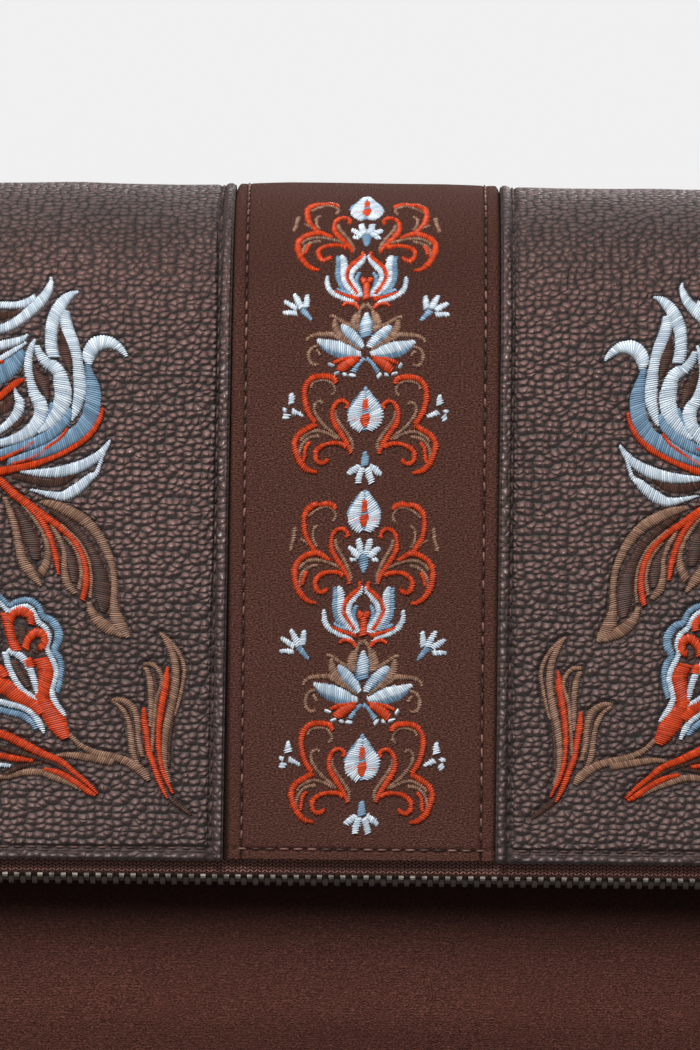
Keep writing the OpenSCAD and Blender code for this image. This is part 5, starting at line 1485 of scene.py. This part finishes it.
def makeStrap():
    route, over = strapRoute()
    fine = evenWay(smoothWay(route, 0.7), 2.2)
    top, foot = strap["eyeZ"] - strap["endL"], strap["lowR"] + strap["t"]
    y = strap["tabY"] + (strap["floorY"] - strap["tabY"]) * eased((top - fine[:, 1]) / (top - foot - over / 2))
    line = np.column_stack([fine[:, 0], y, fine[:, 1]])
    rings, out = flatRings(line, flatSection(strap["width"], strap["t"], strap["stitchAt"]))
    ringPiece("shoulderStrap", rings, "leatherTrim", "root", ("strap",), 60)
    run = runOf(line)
    places = []
    for at in np.arange(4, run[-1] - 3, strap["pitch"]):
        i = int(np.searchsorted(run, at))
        t = (line[i] - line[i - 1]) / np.linalg.norm(line[i] - line[i - 1])
        n = np.array([out[i][0], 0, out[i][1]])
        for w in (-strap["stitchAt"], strap["stitchAt"]):
            for face in (-1, 1):
                centre = line[i] + (0, w, 0) + n * face * (strap["t"] / 2 - strap["sunk"])
                places.append((centre, t, n * face))
    stitchPiece("strapStitches", places, "root")
    print("strap length", round(run[-1], 1), "mm")


def makeTab(side):  # a strip folded round the ring's bar and sewn flat on the gusset
    cx, cz, r = tab["barX"], tab["barZ"], tab["midR"]
    outer, inner = tab["legX"] - tab["t"] / 2, tab["faceX"] + tab["t"] / 2
    way = [(outer, z) for z in np.linspace(tab["low"] + 0.3, cz - 5.2, 12)]
    way += arcPoints(cx, cz, r, -108, 180, 26) + [(inner, z) for z in np.linspace(cz - 1.5, tab["low"] + 0.3, 14)]
    fine = evenWay(smoothWay(way, 0.25, 10), 0.7)
    line = np.column_stack([side * fine[:, 0], np.full(len(fine), float(strap["tabY"])), fine[:, 1]])
    rings, _ = flatRings(line, flatSection(strap["width"], tab["t"], strap["stitchAt"]))
    word = sideWords[side]
    ringPiece("strapTab" + word, rings, "leatherTrim", "root", ("strap_tab_" + word.lower(),), 60)
    face, y, low = side * (tab["legX"] - tab["sunk"]), strap["tabY"], tab["low"]
    places = [((face, y + w, z), (0, 0, 1), (side, 0, 0)) for w in (-strap["stitchAt"], strap["stitchAt"])
              for z in np.arange(low + 2.4, cz - 6, stitch["pitch"])]
    places += [((face, y + w, low + 1.6), (0, 1, 0), (side, 0, 0)) for w in tab["crossAt"]]
    stitchPiece("tabStitches" + word, places, "root")


makeStrap()
for side in sideWords:
    makeTab(side)
print("stage: strap")

# Foam in the walls, rounded at its cut edges

for name, node in {"frontPadding": "front_padding", "backPadding": "back_padding"}.items():
    pad = bpy.data.objects.new(name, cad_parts[node].data.copy())
    bpy.context.scene.collection.objects.link(pad)
    closeUp(pad, 1e-5, None)
    applied(pad, "BEVEL", width=0.5 * mm, segments=3, limit_method="ANGLE", angle_limit=math.radians(40))
    dress(pad, "foam", "root", (node,), 40)

# Rigid nodes keep their shape and take the finer finishes

nodeFinishes = {
    "zipMetal": ["zip_teeth_front", "zip_teeth_back", "zip_stops", "zip_slider", "zip_puller"],
    "nickel": ["tab_rivets", "strap_rivets", "d_ring_left", "d_ring_right", "snap_hook_left",
               "snap_hook_right", "hook_gate_left", "hook_gate_right", "swivel_eye_left", "swivel_eye_right"],
    "magnetSteel": ["body_magnet", "flap_magnet"],
    "board": ["base_board"],
}
for finish, names in nodeFinishes.items():
    for name in names:
        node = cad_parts[name]
        for index in range(len(node.data.materials)):
            node.data.materials[index] = finishes[finish]

# Floor: paper that looks pale to the camera and sends little light back to the bag

paper = {"pale": ((0.4, 0.4, 0.4, 1), (0.43, 0.43, 0.43, 1)), "dim": (0.12, 0.12, 0.12, 1),
         "glow": (0.36, 0.36, 0.36, 1)}


def makeFloor():
    bpy.ops.object.select_all(action="DESELECT")
    bpy.ops.mesh.primitive_grid_add(x_subdivisions=8, y_subdivisions=8, size=8)
    floor = bpy.context.object
    floor.name = "floor"
    tree, shader = startMaterial("floorPaper", 0.9, 0.1)
    ray = addNode(tree, "LightPath").outputs
    seen = math2(tree, "MAXIMUM", ray["Is Glossy Ray"], ray["Is Transmission Ray"])
    seen = math2(tree, "MAXIMUM", ray["Is Camera Ray"], seen)
    pale = mixColor(tree, noise(tree, objectPlace(tree), 40.0, 3.0)[0], *paper["pale"])
    feed(tree, shader, {"Base Color": mixColor(tree, seen, paper["dim"], pale), "Emission Strength": 1.0,
                        "Emission Color": mixColor(tree, seen, (0, 0, 0, 1), paper["glow"])})
    floor.data.materials.append(finishes["floorPaper"])


makeFloor()

print("stage: done")
